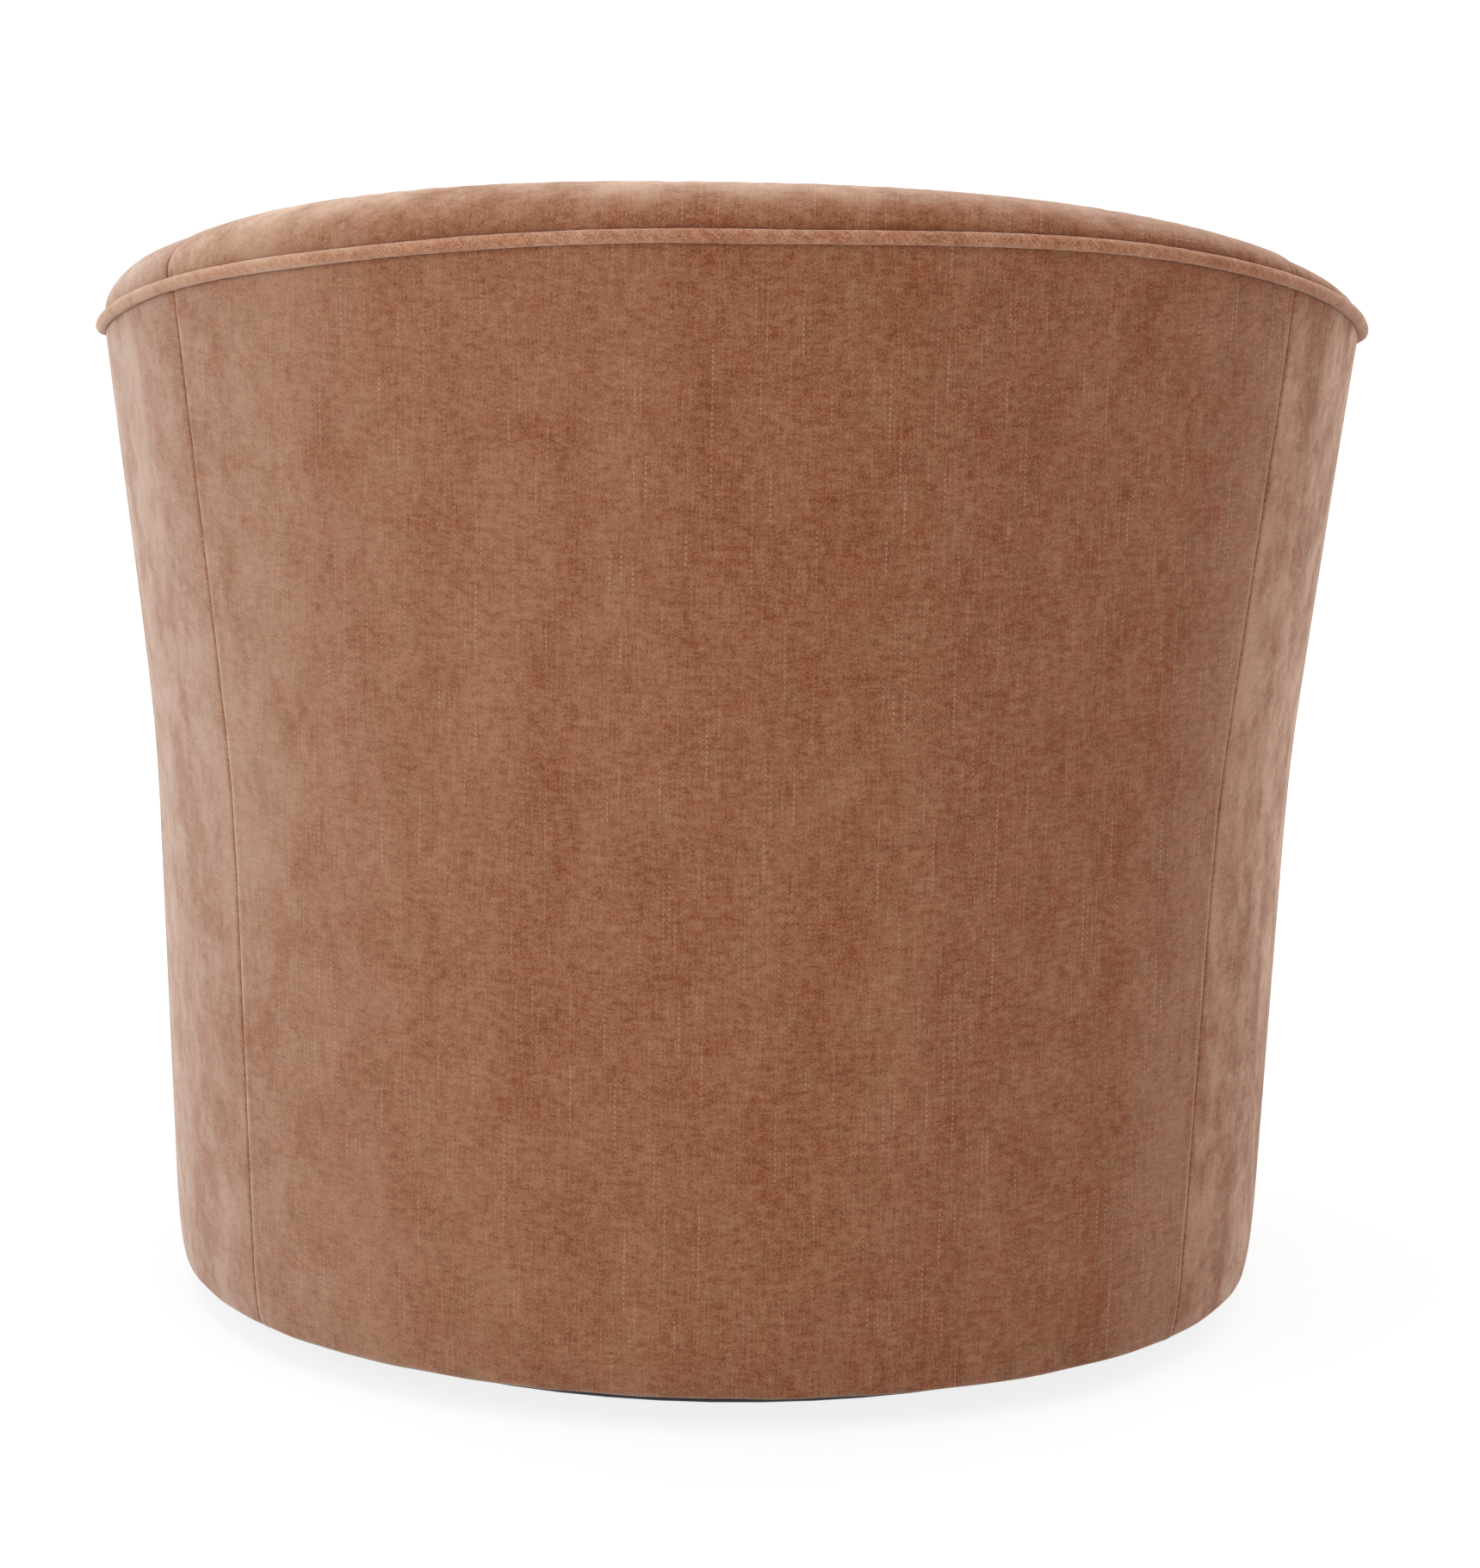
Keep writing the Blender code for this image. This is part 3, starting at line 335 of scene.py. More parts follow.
# Chenille: short cut pile on a slubbed ground, matt from the front and pale where it is seen edge on, from
# its sheen and from a sheen painted into its colour.
def makeChenille(name, look):
    material, add = newMaterial(name)
    threads = inMillimetres(add, add("UVMap", uv_map="threadMap"))
    place = inMillimetres(add)
    mottle, ribs = patches(add, threads, *look["mottle"]), patches(add, threads, *look["ribs"])
    specks, blotches = patches(add, threads, *look["specks"]), patches(add, threads, *look["blotches"])
    clouds, bands = patches(add, place, *look["clouds"]), patches(add, place, *look["bands"])
    weave = add("Mix", {0: look["speckShare"], 2: mottle, 3: specks})
    weave = add("Mix", {0: look["ribShare"], 2: weave, 3: ribs})
    napAndSheen = add("Mix", {0: look["bandShare"], 2: clouds, 3: bands})

    # the ground: rust yarn with dusty tufts, redder in some places and more tan in others
    # painted light: the ground's tone rises towards +X, which the key lamp lights, and falls towards -X
    reach, gain = look["paintedSideReach"], look["paintedSideLight"]
    side = add("SeparateXYZ", {0: place})
    paintedSideLight = add("MapRange", {"Value": side, "From Min": -reach, "From Max": reach,
                              "To Min": -gain, "To Max": gain})
    tone = add("Math", {0: add("Mix", {0: look["napTone"], 2: weave, 3: napAndSheen}), 1: paintedSideLight}, operation="ADD")
    low, high = look["toneSpan"]
    tone = add("MapRange", {"Value": tone, "From Min": low, "From Max": high})
    low, high = look["yarnSpan"]
    redness = add("MapRange", {"Value": blotches, "From Min": low, "From Max": high})
    yarn = add("Mix", {0: redness, 6: hexColour(look["blotchTan"]), 7: hexColour(look["blotchRed"])},
               data_type="RGBA")
    dark = add("Mix", {0: look["blotchShare"], 6: hexColour(look["rust"]), 7: yarn}, data_type="RGBA")
    ground = add("Mix", {0: tone, 6: dark, 7: hexColour(look["dust"])}, data_type="RGBA")

    # slubs: dotted pale lines that run up the cloth for a few centimetres
    split = add("SeparateXYZ", {0: threads})
    u, v = split.outputs[0], split.outputs[1]
    across = add("Math", {0: u, 1: look["slubPitch"]}, operation="DIVIDE")
    column = add("Math", {0: across}, operation="FLOOR")
    chance = add("TexWhiteNoise", {"W": column}, noise_dimensions="1D")
    offMiddle = add("Math", {0: add("Math", {0: across}, operation="FRACT"), 1: 0.5}, operation="SUBTRACT")
    offMiddle = add("Math", {0: offMiddle}, operation="ABSOLUTE")
    half = look["slubWide"] / look["slubPitch"] / 2
    outer, inner = look["slubEdge"]
    line = add("MapRange", {"Value": offMiddle, "From Min": half * outer, "From Max": half * inner})
    where = add("CombineXYZ", {0: add("Math", {0: column, 1: look["slubApart"]}, operation="MULTIPLY"),
                               1: add("Math", {0: v, 1: look["slubLong"]}, operation="DIVIDE")})
    stretch = add("TexNoise", {"Vector": where, "Scale": 1.0, "Detail": 1.0})
    low, high = look["slubSpan"]
    present = add("MapRange", {"Value": stretch, "From Min": low, "From Max": high})
    dots = add("Math", {0: v, 1: 2 * math.pi / look["slubDot"]}, operation="MULTIPLY")
    low, high = look["slubDots"]
    dots = add("Math", {0: dots}, operation="SINE")
    dots = add("MapRange", {"Value": dots, "From Min": low, "From Max": high})
    slub = line
    for part in (present, dots, chance):
        slub = add("Math", {0: slub, 1: part}, operation="MULTIPLY")
    pale = add("Math", {0: slub, 1: look["slubShare"]}, operation="MULTIPLY")
    woven = add("Mix", {0: pale, 6: ground, 7: hexColour(look["slub"])}, data_type="RGBA")

    # painted sheen: the colour turns pale where the cloth is seen edge on, more in some clouds than in others
    low, high = look["laySpan"]
    lay = add("MapRange", {"Value": napAndSheen, "From Min": low, "From Max": high, "To Min": look["paintedSheenLow"]})
    # painted light: the painted sheen grows towards +X, which the key lamp lights
    sideSheen = add("Math", {0: paintedSideLight, 1: look["paintedSideSheen"], 2: 1.0}, operation="MULTIPLY_ADD")
    facing = add("LayerWeight", {"Blend": 0.5}).outputs["Facing"]
    paintedSheen = add("Math", {0: facing, 1: look["paintedSheenEdge"]}, operation="POWER")
    for part in (lay, sideSheen, look["paintedSheenShare"]):
        paintedSheen = add("Math", {0: paintedSheen, 1: part}, operation="MULTIPLY")
    colour = add("Mix", {0: paintedSheen, 6: woven, 7: hexColour(look["napAndSheen"])}, data_type="RGBA")
    strength, deep = look["relief"]
    bump = add("Bump", {"Strength": strength, "Distance": deep,
                        "Height": add("Math", {0: weave, 1: slub}, operation="ADD")})
    shader = add("BsdfPrincipled", {
        "Base Color": colour, "Roughness": look["rough"], "Specular IOR Level": look["specular"],
        "Normal": bump, "Sheen Weight": look["sheen"], "Sheen Roughness": look["sheenRough"],
        "Sheen Tint": hexColour(look["sheenTint"])})
    add("OutputMaterial", {0: shader})
    return material


# In the finishes below relief is the strength and the depth in metres, and patterns are as above.
beechLook = {"grain": ((2.5, 2.5, 90.0), 4.0, 0.6), "flecks": ((0.8, 0.8, 3.0), 2.0, 0.5),
             "fleckShare": 0.3, "dark": "#a9794c", "pale": "#dcb88c", "rough": 0.62, "relief": (0.3, 0.0003)}


# Beech: close pale grain, sawn and left unfinished, as in an upholsterer's frame.
def makeBeech(look):
    material, add = newMaterial("sawn beech")
    place = inMillimetres(add)
    grain, flecks = patches(add, place, *look["grain"]), patches(add, place, *look["flecks"])
    grainy = add("Mix", {0: look["fleckShare"], 2: grain, 3: flecks})
    return finished(material, add, look, grainy, relief=grainy)


plywoodLook = {"figure": ((14.0, 120.0, 1.4), 4.0, 0.6), "pores": ((1.0, 9.0, 1.0), 2.0, 0.5),
               "poreShare": 0.35, "dark": "#b18652", "pale": "#dfc08e", "rough": 0.66}


# Plywood: rotary-cut veneer with long wavy figure, its plies showing as stripes along the edge.
def makePlywood(look):
    material, add = newMaterial("birch plywood")
    place = inMillimetres(add)
    figure, pores = patches(add, place, *look["figure"]), patches(add, place, *look["pores"])
    return finished(material, add, look, add("Mix", {0: look["poreShare"], 2: figure, 3: pores}))


boardLook = {"pebble": ((1.6, 1.6, 1.6), 3.0, 0.6), "rubs": ((60.0, 60.0, 12.0), 5.0, 0.7),
             "rubbed": (0.58, 0.78), "dark": "#141415", "pale": "#2e2d2c", "rough": (0.42, 0.68),
             "relief": (0.25, 0.0003)}


# Black painted board: rolled water paint, faintly pebbled, with dust-grey rubs.
def makeBlackBoard(look):
    material, add = newMaterial("black painted board")
    place = inMillimetres(add)
    pebble, rubs = patches(add, place, *look["pebble"]), patches(add, place, *look["rubs"])
    low, high = look["rubbed"]
    rubbed = add("MapRange", {"Value": rubs, "From Min": low, "From Max": high})
    return finished(material, add, look, rubbed, relief=pebble, wear=rubs)


blackSteelLook = {"peel": ((2.2, 2.2, 2.2), 2.0, 0.5), "scuffs": ((18.0, 4.0, 4.0), 4.0, 0.7),
                  "dark": "#17181a", "pale": "#2b2c2e", "rough": (0.28, 0.55), "metallic": 0.3,
                  "relief": (0.15, 0.0002)}


# Black steel: electro-coated pressing, satin, with a fine orange peel.
def makeBlackSteel(look):
    material, add = newMaterial("black coated steel")
    place = inMillimetres(add)
    peel, scuffs = patches(add, place, *look["peel"]), patches(add, place, *look["scuffs"])
    return finished(material, add, look, scuffs, relief=peel, wear=scuffs)


brightSteelLook = {"drawn": ((0.5, 6.0, 0.5), 3.0, 0.6), "spangle": ((5.0, 5.0, 5.0), 3.0, 0.6),
                   "dark": "#a9aaa8", "pale": "#d2d3d2", "rough": (0.22, 0.44), "metallic": 1.0}


# Bright steel: zinc-plated wire and fixings, drawn or turned, so its scratches run one way.
def makeBrightSteel(look):
    material, add = newMaterial("zinc plated steel")
    place = inMillimetres(add)
    drawn, spangle = patches(add, place, *look["drawn"]), patches(add, place, *look["spangle"])
    return finished(material, add, look, spangle, wear=drawn)


nylonLook = {"spark": ((0.7, 0.7, 0.7), 2.0, 0.6), "dark": "#2b2b2c", "pale": "#3f3f40", "rough": 0.52,
             "relief": (0.2, 0.0002)}


# Nylon: moulded black glides, slightly milky, with a spark-eroded texture.
def makeNylon(look):
    material, add = newMaterial("moulded nylon")
    spark = patches(add, inMillimetres(add), *look["spark"])
    return finished(material, add, look, spark, relief=spark)


webbingLook = {"ribs": 0.16, "uneven": 0.4, "fluff": ((0.8, 0.8, 2.4), 2.0, 0.5), "fluffShare": 0.4,
               "dark": "#2c2a27", "pale": "#57534c", "rough": 0.85, "relief": (0.6, 0.0006)}


# Elastic webbing: rubber threads under a woven cover, ribbed across every 2 mm.
def makeWebbing(look):
    material, add = newMaterial("elastic webbing")
    place = inMillimetres(add)
    ribs = add("TexWave", {"Vector": place, "Scale": look["ribs"], "Distortion": look["uneven"],
                           "Detail": 1.0}, wave_type="BANDS", bands_direction="Z")
    fluff = patches(add, place, *look["fluff"])
    mixed = add("Mix", {0: look["fluffShare"], 2: ribs.outputs["Fac"], 3: fluff})
    return finished(material, add, look, mixed, relief=mixed)


liningLook = {"dotPitch": 1.5, "uneven": 0.15, "fibres": ((0.5, 5.0, 1.0), 3.0, 0.7), "fibreShare": 0.5,
              "dark": "#1b1b1c", "pale": "#343436", "rough": 0.9, "specular": 0.25,
              "relief": (0.4, 0.0003)}


# Lining: spun-bonded polypropylene, thermally dotted every 1.5 mm.
def makeLining(look):
    material, add = newMaterial("black dust cloth")
    threads = inMillimetres(add, add("UVMap", uv_map="threadMap"))
    scaled = add("VectorMath", {0: threads, 3: 1 / look["dotPitch"]}, operation="SCALE")
    dots = add("TexVoronoi", {"Vector": scaled, "Scale": 1.0, "Randomness": look["uneven"]})
    fibres = patches(add, threads, *look["fibres"])
    mixed = add("Mix", {0: look["fibreShare"], 2: dots, 3: fibres})
    return finished(material, add, look, mixed, relief=mixed)


chenille = makeChenille("terracotta chenille", chenilleLook)
shadedSideChenille = makeChenille("terracotta chenille with the shaded side's painted sheen", {**chenilleLook, **shadedSideLook})
rolledChenille = makeChenille("terracotta chenille over padding", {**chenilleLook, **rolledLook})
biasChenille = makeChenille("terracotta chenille cut on the bias", {**chenilleLook, **biasLook})
beech, plywood = makeBeech(beechLook), makePlywood(plywoodLook)
blackBoard, blackSteel = makeBlackBoard(boardLook), makeBlackSteel(blackSteelLook)
brightSteel, nylon = makeBrightSteel(brightSteelLook), makeNylon(nylonLook)
webbing, lining = makeWebbing(webbingLook), makeLining(liningLook)
print("materials made")


# Soft forms

stuffingLook = {"frames": 20, "quality": 6, "mass": 0.25, "stretch": 18, "shear": 6, "bending": 6.0}


def fullness(piece, held, pressure, cap, slack):
    # a short cloth run fills the piece out between the points that are sewn or rest on wood
    look, scene = stuffingLook, bpy.context.scene
    group = piece.vertex_groups.new(name="held")
    for index, weight in enumerate(held):
        if weight > 0:
            group.add([index], weight, "REPLACE")
    start = [vertex.co.copy() for vertex in piece.data.vertices]
    cloth = piece.modifiers.new("stuffing", "CLOTH")
    settings = cloth.settings
    settings.quality = look["quality"]
    settings.mass = look["mass"]
    settings.tension_stiffness = settings.compression_stiffness = look["stretch"]
    settings.shear_stiffness = look["shear"]
    settings.bending_stiffness = look["bending"]
    settings.use_pressure = True
    settings.uniform_pressure_force = pressure
    settings.shrink_min = -slack
    settings.vertex_group_mass = "held"
    settings.effector_weights.gravity = 0.0
    cloth.collision_settings.use_collision = False
    cloth.point_cache.frame_start, cloth.point_cache.frame_end = 1, look["frames"]
    for step in range(1, look["frames"] + 1):
        scene.frame_set(step)
    evaluated = piece.evaluated_get(bpy.context.evaluated_depsgraph_get())
    moved = [vertex.co.copy() for vertex in evaluated.data.vertices]
    piece.modifiers.remove(cloth)
    piece.vertex_groups.remove(group)
    furthest = 0.0
    for vertex, before, after in zip(piece.data.vertices, start, moved):
        step = after - before
        furthest = max(furthest, min(cap, step.length))
        vertex.co = before + step * min(1.0, cap / max(step.length, 1e-9))
    scene.frame_set(1)
    print(f"{piece.name} filled out by up to {furthest * 1000:.1f} mm")


def smoothed(piece):
    finer = piece.modifiers.new("finer", "SUBSURF")
    finer.levels = finer.render_levels = 1
    applyAll(piece)
    piece.data.shade_smooth()


rollSteps = 4


def rolled(radius):
    # cloth that turns in at its edge: distances from the edge, with the depth there
    turns = [math.pi / 2 * i / rollSteps for i in range(rollSteps + 1)]
    return [(radius * (1 - math.cos(t)), radius * (1 - math.sin(t))) for t in turns]


# Outside covers: cloth on board, pulled tight, turned in at the seams and under at the hem

coverLook = {
    "cloth": 0.0013, "seamRoll": 0.0018, "topRoll": 0.0014, "hemRoll": 0.003, "turnedIn": 0.0036,
    "turnedUnder": (0.009, 0.006), "step": 0.006, "cornerStep": 0.002, "fineReach": 0.014,
    "waves": 0.0005, "waveSize": 0.09, "puckers": 0.00035, "puckerSize": 0.022, "puckerReach": 0.018,
    "calmReach": 0.03, "seamGap": 0.0005,
    "allowance": 0.009, "allowanceEdge": 0.003,   # the seam's spare cloth, folded behind the back cover
    "hemWave": 0.0008, "hemWaveSize": 0.035, "hemWaveReach": 0.03,
    "tuck": 0.0034, "hemRaise": 0.0026, "hemRaiseReach": 50.0, "hemRaiseHeight": 0.12,
    "folded": 0.0004, "foldedFall": 0.6, "waveStretch": 0.5, "cornerReach": 1.05, "gapSteps": 3,
    # how far from the middle of the cloth each cover was cut, in metres
    "cutBack": (0.0, 0.0), "cutRight": (1.3, 0.4), "cutLeft": (-1.7, 0.9), "cutFront": (0.6, 2.1),
}
cordClear = wall["cordRadius"] + wall["gap"]
grooveDepth = wall["cordRadius"] - wall["cordStand"] + wall["gap"]
cordHalf = angleOf(cordClear, wall["armFront"])
cornerSpan = angleOf(wall["cordCorner"], wall["armFront"], wall["rimSide"])


def coverColumns(first, last, fineFrom=None):
    # (angle, depth) of each upright line of a cover, with both edges rolled in
    look = coverLook
    edge = [(0.0, look["turnedIn"])] + rolled(look["seamRoll"])
    left = [(first + angleOf(d, first), depth) for d, depth in edge]
    right = [(last - angleOf(d, last), depth) for d, depth in edge]
    step = angleOf(look["step"], (first + last) / 2)
    near, far = left[-1][0], right[-1][0]
    fine = [angleOf(d, first) for d in spread(0.0, look["fineReach"], look["cornerStep"])]
    stops = [near + f for f in fine] + spread(near + fine[-1], far - fine[-1], step)[1:-1]
    stops += [far - f for f in fine[::-1]]
    if fineFrom:
        fine = angleOf(look["cornerStep"], wall["armFront"])
        fineStops = spread(fineFrom, max(abs(left[-1][0]), abs(right[-1][0])), fine)
        sign = 1 if last > 0 else -1
        stops = sorted([a for a in stops if abs(a) < fineFrom - fine] + [sign * a for a in fineStops])
    middle = [(a, 0.0) for a in stops[1:-1]]
    return left + middle + right[::-1]


def coverRows(height):
    # (share of the height, offset, depth) of each level line, turned under at the hem
    look = coverLook
    hem = [(0.0, 0.0, depth) for depth in look["turnedUnder"]]
    hem += [(0.0, d, depth) for d, depth in rolled(look["hemRoll"])]
    top = [(1.0, -d, depth) for d, depth in [(0.0, look["turnedIn"])] + rolled(look["topRoll"])]
    inner = spread(look["hemRoll"] / height, 1 - look["topRoll"] / height, look["step"] / height)
    return hem + [(share, 0.0, 0.0) for share in inner[1:-1]] + top[::-1]


def makeCover(name, cloth, first, last, top, node, cut, fineFrom=None, folded=0.0):
    look = coverLook

    def place(column, row):
        angle, turned = column
        share, offset, under = row
        toSeam = min(abs(angle - first), abs(angle - last)) / angleOf(1.0, angle)
        level = hemZ + (top(angle) - hemZ) * share + offset
        angle += seamDrift(angle, level)
        z = hemZ + (top(angle) - hemZ) * share + offset
        flat = wallPoint(angle, z, 0.0)
        calm = min(1.0, min(toSeam, max(0.0, z - hemZ), max(0.0, top(angle) - z)) / look["calmReach"])
        wave = look["waves"] * calm * ripple(flat.x, flat.y, flat.z * look["waveStretch"], look["waveSize"])
        if turned == 0:
            near = max(0.0, 1 - toSeam / look["puckerReach"])
            wave += look["puckers"] * near * ripple(first, last, z, look["puckerSize"])
            over = min(1.0, max(0.0, (look["allowance"] - toSeam) / look["allowanceEdge"]))
            wave += folded * over * (1 - look["foldedFall"] * share)
        low = max(0.0, 1 - (z - hemZ) / look["hemWaveReach"])
        z += look["hemWave"] * low * ripple(flat.x + first, flat.y, 0.0, look["hemWaveSize"])
        middle = max(0.0, 1 - (angle / look["hemRaiseReach"]) ** 2)
        z += look["hemRaise"] * middle * max(0.0, 1 - (z - hemZ) / look["hemRaiseHeight"])
        return wallPoint(angle, z, max(turned, under) - wave)

    columns = coverColumns(first, last, fineFrom)
    height = top((first + last) / 2) - hemZ
    piece = clothGrid(name, columns, coverRows(height), place, look["cloth"])
    for loop in piece.data.uv_layers["threadMap"].data:
        loop.uv = (loop.uv[0] + cut[0], loop.uv[1] + cut[1])
    dress(piece, "chair_body", "chenille", cloth, node)
    wide = angleSpan(first, last, wall["seatBend"])


def angleSpan(first, last, z):
    # length of the cover along the wall between two angles
    stops = [outline(a, z) for a in spread(first, last, 1.0)]
    return sum((b - a).length for a, b in zip(stops, stops[1:]))


def coverTop(angle):
    return edgeHeight(angle, coverLook["tuck"])


seam = wall["backSeam"]
seamHalf = angleOf(coverLook["seamGap"], seam)
makeCover("outsideBackCover", chenille, -seam + seamHalf, seam - seamHalf, coverTop, "outside_back_cover",
          coverLook["cutBack"], folded=coverLook["folded"])
frontEnd = wall["armFront"] - cordHalf - angleOf(coverLook["gapSteps"] * wall["gap"], wall["armFront"])
fineFrom = wall["armFront"] - cornerSpan * coverLook["cornerReach"]
makeCover("outsideArmCoverRight", chenille, seam + seamHalf, frontEnd, coverTop, "outside_arm_cover_right",
          coverLook["cutRight"], fineFrom)
# the -X arm's cover takes the painted sheen retuned for the side away from the key lamp
makeCover("outsideArmCoverLeft", shadedSideChenille, -frontEnd, -seam - seamHalf, coverTop,
          "outside_arm_cover_left", coverLook["cutLeft"], fineFrom)
borderStart = wall["noseEnd"] + angleOf(2 * wall["gap"], wall["noseEnd"])
makeCover("frontBorder", chenille, borderStart, 360 - borderStart, lambda angle: deckLow.z - wall["gap"],
          "front_border", coverLook["cutFront"])
print("outside covers made")


# Piping: bias-cut cloth sewn round a cord, which draws up a little all along it

cordLook = {
    "sides": 14, "step": 0.003, "wobble": 0.05, "wander": 0.0002, "creaseSize": 0.006, "wanderSize": 0.04,
    "wanderApart": 3, "endTurns": (0.45, 0.9, 1.3), "rimDegrees": 1.0, "cornerDegrees": 0.15,
    "uprightStep": 0.006, "bias": 0.7071, "cut": 5.0,      # strips cut at 45 degrees, so far off in the cloth
}


def resampled(path, step, closed=False):
    points = list(path) + ([path[0]] if closed else [])
    run = [0.0]
    for near, far in zip(points, points[1:]):
        run.append(run[-1] + (far - near).length)
    count = max(2, round(run[-1] / step))
    out, i = [], 0
    for k in range(count if closed else count + 1):
        target = run[-1] * k / count
        while i < len(run) - 2 and run[i + 1] < target:
            i += 1
        share = (target - run[i]) / max(run[i + 1] - run[i], 1e-9)
        out.append(points[i].lerp(points[i + 1], min(1.0, share)))
    return out


def makeWelt(name, path, radius, closed=False):
    look = cordLook
    path = resampled(path, look["step"], closed)
    count = len(path)
    points, threads, faces = [], [], []
    side = None
    along = 0.0
    stations = []
    for i, point in enumerate(path):
        before = path[i - 1] if closed or i else path[0]
        after = path[(i + 1) % count] if closed or i < count - 1 else path[-1]
        tangent = (after - before).normalized()
        if closed:
            side = Vector((0, 0, 1))
        elif side is None:
            side = tangent.orthogonal()
        side = (side - tangent * side.dot(tangent)).normalized()
        stations.append((point, tangent, side.copy(), 1.0, look["step"] * i))
    if not closed:
        # both ends are rounded off
        for end, way in ((0, -1), (-1, 1)):
            point, tangent, across, _, along = stations[end]
            caps = [(point + tangent * way * radius * math.sin(t), tangent, across, math.cos(t),
                     along + way * radius * math.sin(t)) for t in look["endTurns"]]
            stations = caps[::-1] + stations if way < 0 else stations + caps
    for point, tangent, across, share, along in stations:
        up = tangent.cross(across)
        crease = 1 + look["wobble"] * ripple(point.x, point.y, point.z, look["creaseSize"])
        drift = look["wander"] * ripple(point.x + look["wanderApart"], point.y, point.z, look["wanderSize"])
        for k in range(look["sides"]):
            turn = 2 * math.pi * k / look["sides"]
            out = across * math.cos(turn) + up * math.sin(turn)
            points.append(point + out * (radius * share * crease + drift * share))
            around = turn * radius
            threads.append(((along + around) * look["bias"] + look["cut"], (along - around) * look["bias"]))
    sides, rings = look["sides"], len(stations)
    for i in range(rings if closed else rings - 1):
        for k in range(sides):
            a, b = i * sides + k, i * sides + (k + 1) % sides
            c, d = ((i + 1) % rings) * sides + (k + 1) % sides, ((i + 1) % rings) * sides + k
            faces.append((a, b, c, d))
    if not closed:
        faces.append(tuple(range(sides))[::-1])
        faces.append(tuple((rings - 1) * sides + k for k in range(sides)))
    piece = meshPiece(name, points, faces, threads)
    outwards(piece)
    return piece


def rimPath():
    look, front = cordLook, wall["armFront"]
    angles = spread(0.0, front - cornerSpan, look["rimDegrees"])
    angles += spread(front - cornerSpan, front, look["cornerDegrees"])[1:]
    low = hemZ + wall["cordRadius"]
    halves = []
    for way in (-1, 1):
        half = [wallPoint(way * a, edgeHeight(way * a), -wall["cordStand"]) for a in angles]
        half += [wallPoint(way * front, z, -wall["cordStand"])
                 for z in spread(edgeHeight(way * front), low, look["uprightStep"])[1:]]
        halves.append(half)
    return halves[0][:0:-1] + halves[1]


rimPiping = makeWelt("rimPiping", rimPath(), wall["cordRadius"])
dress(rimPiping, "chair_body", "chenille", biasChenille, "rim_piping")
print("piping made")


# Padding inside the back and arms, rolled over the top rail and sewn down to the piping

padLook = {
    "slim": 0.0022, "seamWide": 0.010, "seamDrop": 0.0012, "seamSteps": 5, "step": 0.009,
    "crownOuter": 10, "crownInner": 12, "faceRows": 30, "pressure": 3.0, "cap": 0.005, "fill": 0.8,
    "slack": 0.006, "footHeld": 0.015, "crownHold": 0.5, "faceHold": 0.2, "crownSlim": 0.0008,
    "slimRows": 8, "lipTurns": (0.23, 0.42, 0.60, 0.78), "snugTurn": 0.96, "underTurn": 0.14,
    "lipRows": 3, "railRows": 7, "sewnRows": 2, "easeRows": 6,
    "bulge": 0.0010, "plumpRight": 0.0008, "plumpLeft": -0.0020,
    "dipArm": 0.0026, "dipBack": 0.0010, "dipReach": 11.0,
}
crownRows = len(padLook["lipTurns"]) - 1 + padLook["crownOuter"] + padLook["crownInner"]


def offsetRun(flat, drops):
    # moves a section's (depth, height) points into the padding by the distances given
    moved = []
    for i, (depth, z) in enumerate(flat):
        before, after = flat[max(i - 1, 0)], flat[min(i + 1, len(flat) - 1)]
        along = Vector((after[0] - before[0], after[1] - before[1])).normalized()
        moved.append((depth + along.y * drops[i], z - along.x * drops[i]))
    return moved


def padCrown(angle, share, look):
    base = rimHeight(angle) - wall["noseDrop"] * (1 - share)
    shoulder = base - wall["rimShoulder"] * share
    inset = wall["crownInset"] * share
    reach = armDepth(angle, shoulder, share)
    top = base + wall["crownRise"] * share
    start = base + sewnShift(angle) + cordClear * math.sin(padLook["snugTurn"])
    # the photo's chair is stuffed a little unevenly, and its crown dips at the seam on the +X side
    onArm = abs(angle) > wall["backSeam"]
    if onArm:
        top += padLook["plumpRight" if angle > 0 else "plumpLeft"] * share
    bySeam = max(0.0, 1 - abs(angle - wall["backSeam"]) / padLook["dipReach"])
    top -= padLook["dipArm" if onArm else "dipBack"] * bySeam * share
    # the cloth bulges a little over the piping before it rises
    under = padLook["underTurn"]
    widest = start + (top - start) * math.sin(under) / (1 + math.sin(under))
    outer = -padLook["bulge"] * share
    rising = [(inset - (inset - outer) * math.cos(t), widest + (top - widest) * math.sin(t))
              for t in spread(-under, math.pi / 2, (math.pi / 2 + under) / look["crownOuter"])]
    falling = [(inset + (reach - inset) * math.sin(t), shoulder + (top - shoulder) * math.cos(t))
               for t in spread(0.0, math.pi / 2, math.pi / 2 / look["crownInner"])]
    return rising, falling, shoulder


def drawnIn(look, steps):
    # (distance from a seam, how far the padding is drawn in there), out to where it is full
    shares = [i / steps for i in range(steps)]
    return [(look["seamWide"] * s * s, look["seamDrop"] * (1 - math.sqrt(1 - (1 - s) ** 2))) for s in shares]


def seamColumns(first, last, look):
    # (angle, how far the padding is drawn in) of each upright line between two seams
    left = [(first + angleOf(d, first), drop) for d, drop in drawnIn(look, look["seamSteps"])]
    right = [(last - angleOf(d, last), drop) for d, drop in drawnIn(look, look["seamSteps"])]
    low, high = first + angleOf(look["seamWide"], first), last - angleOf(look["seamWide"], last)
    return left + [(a, 0.0) for a in spread(low, high, angleOf(look["step"], (low + high) / 2))] + right[::-1]


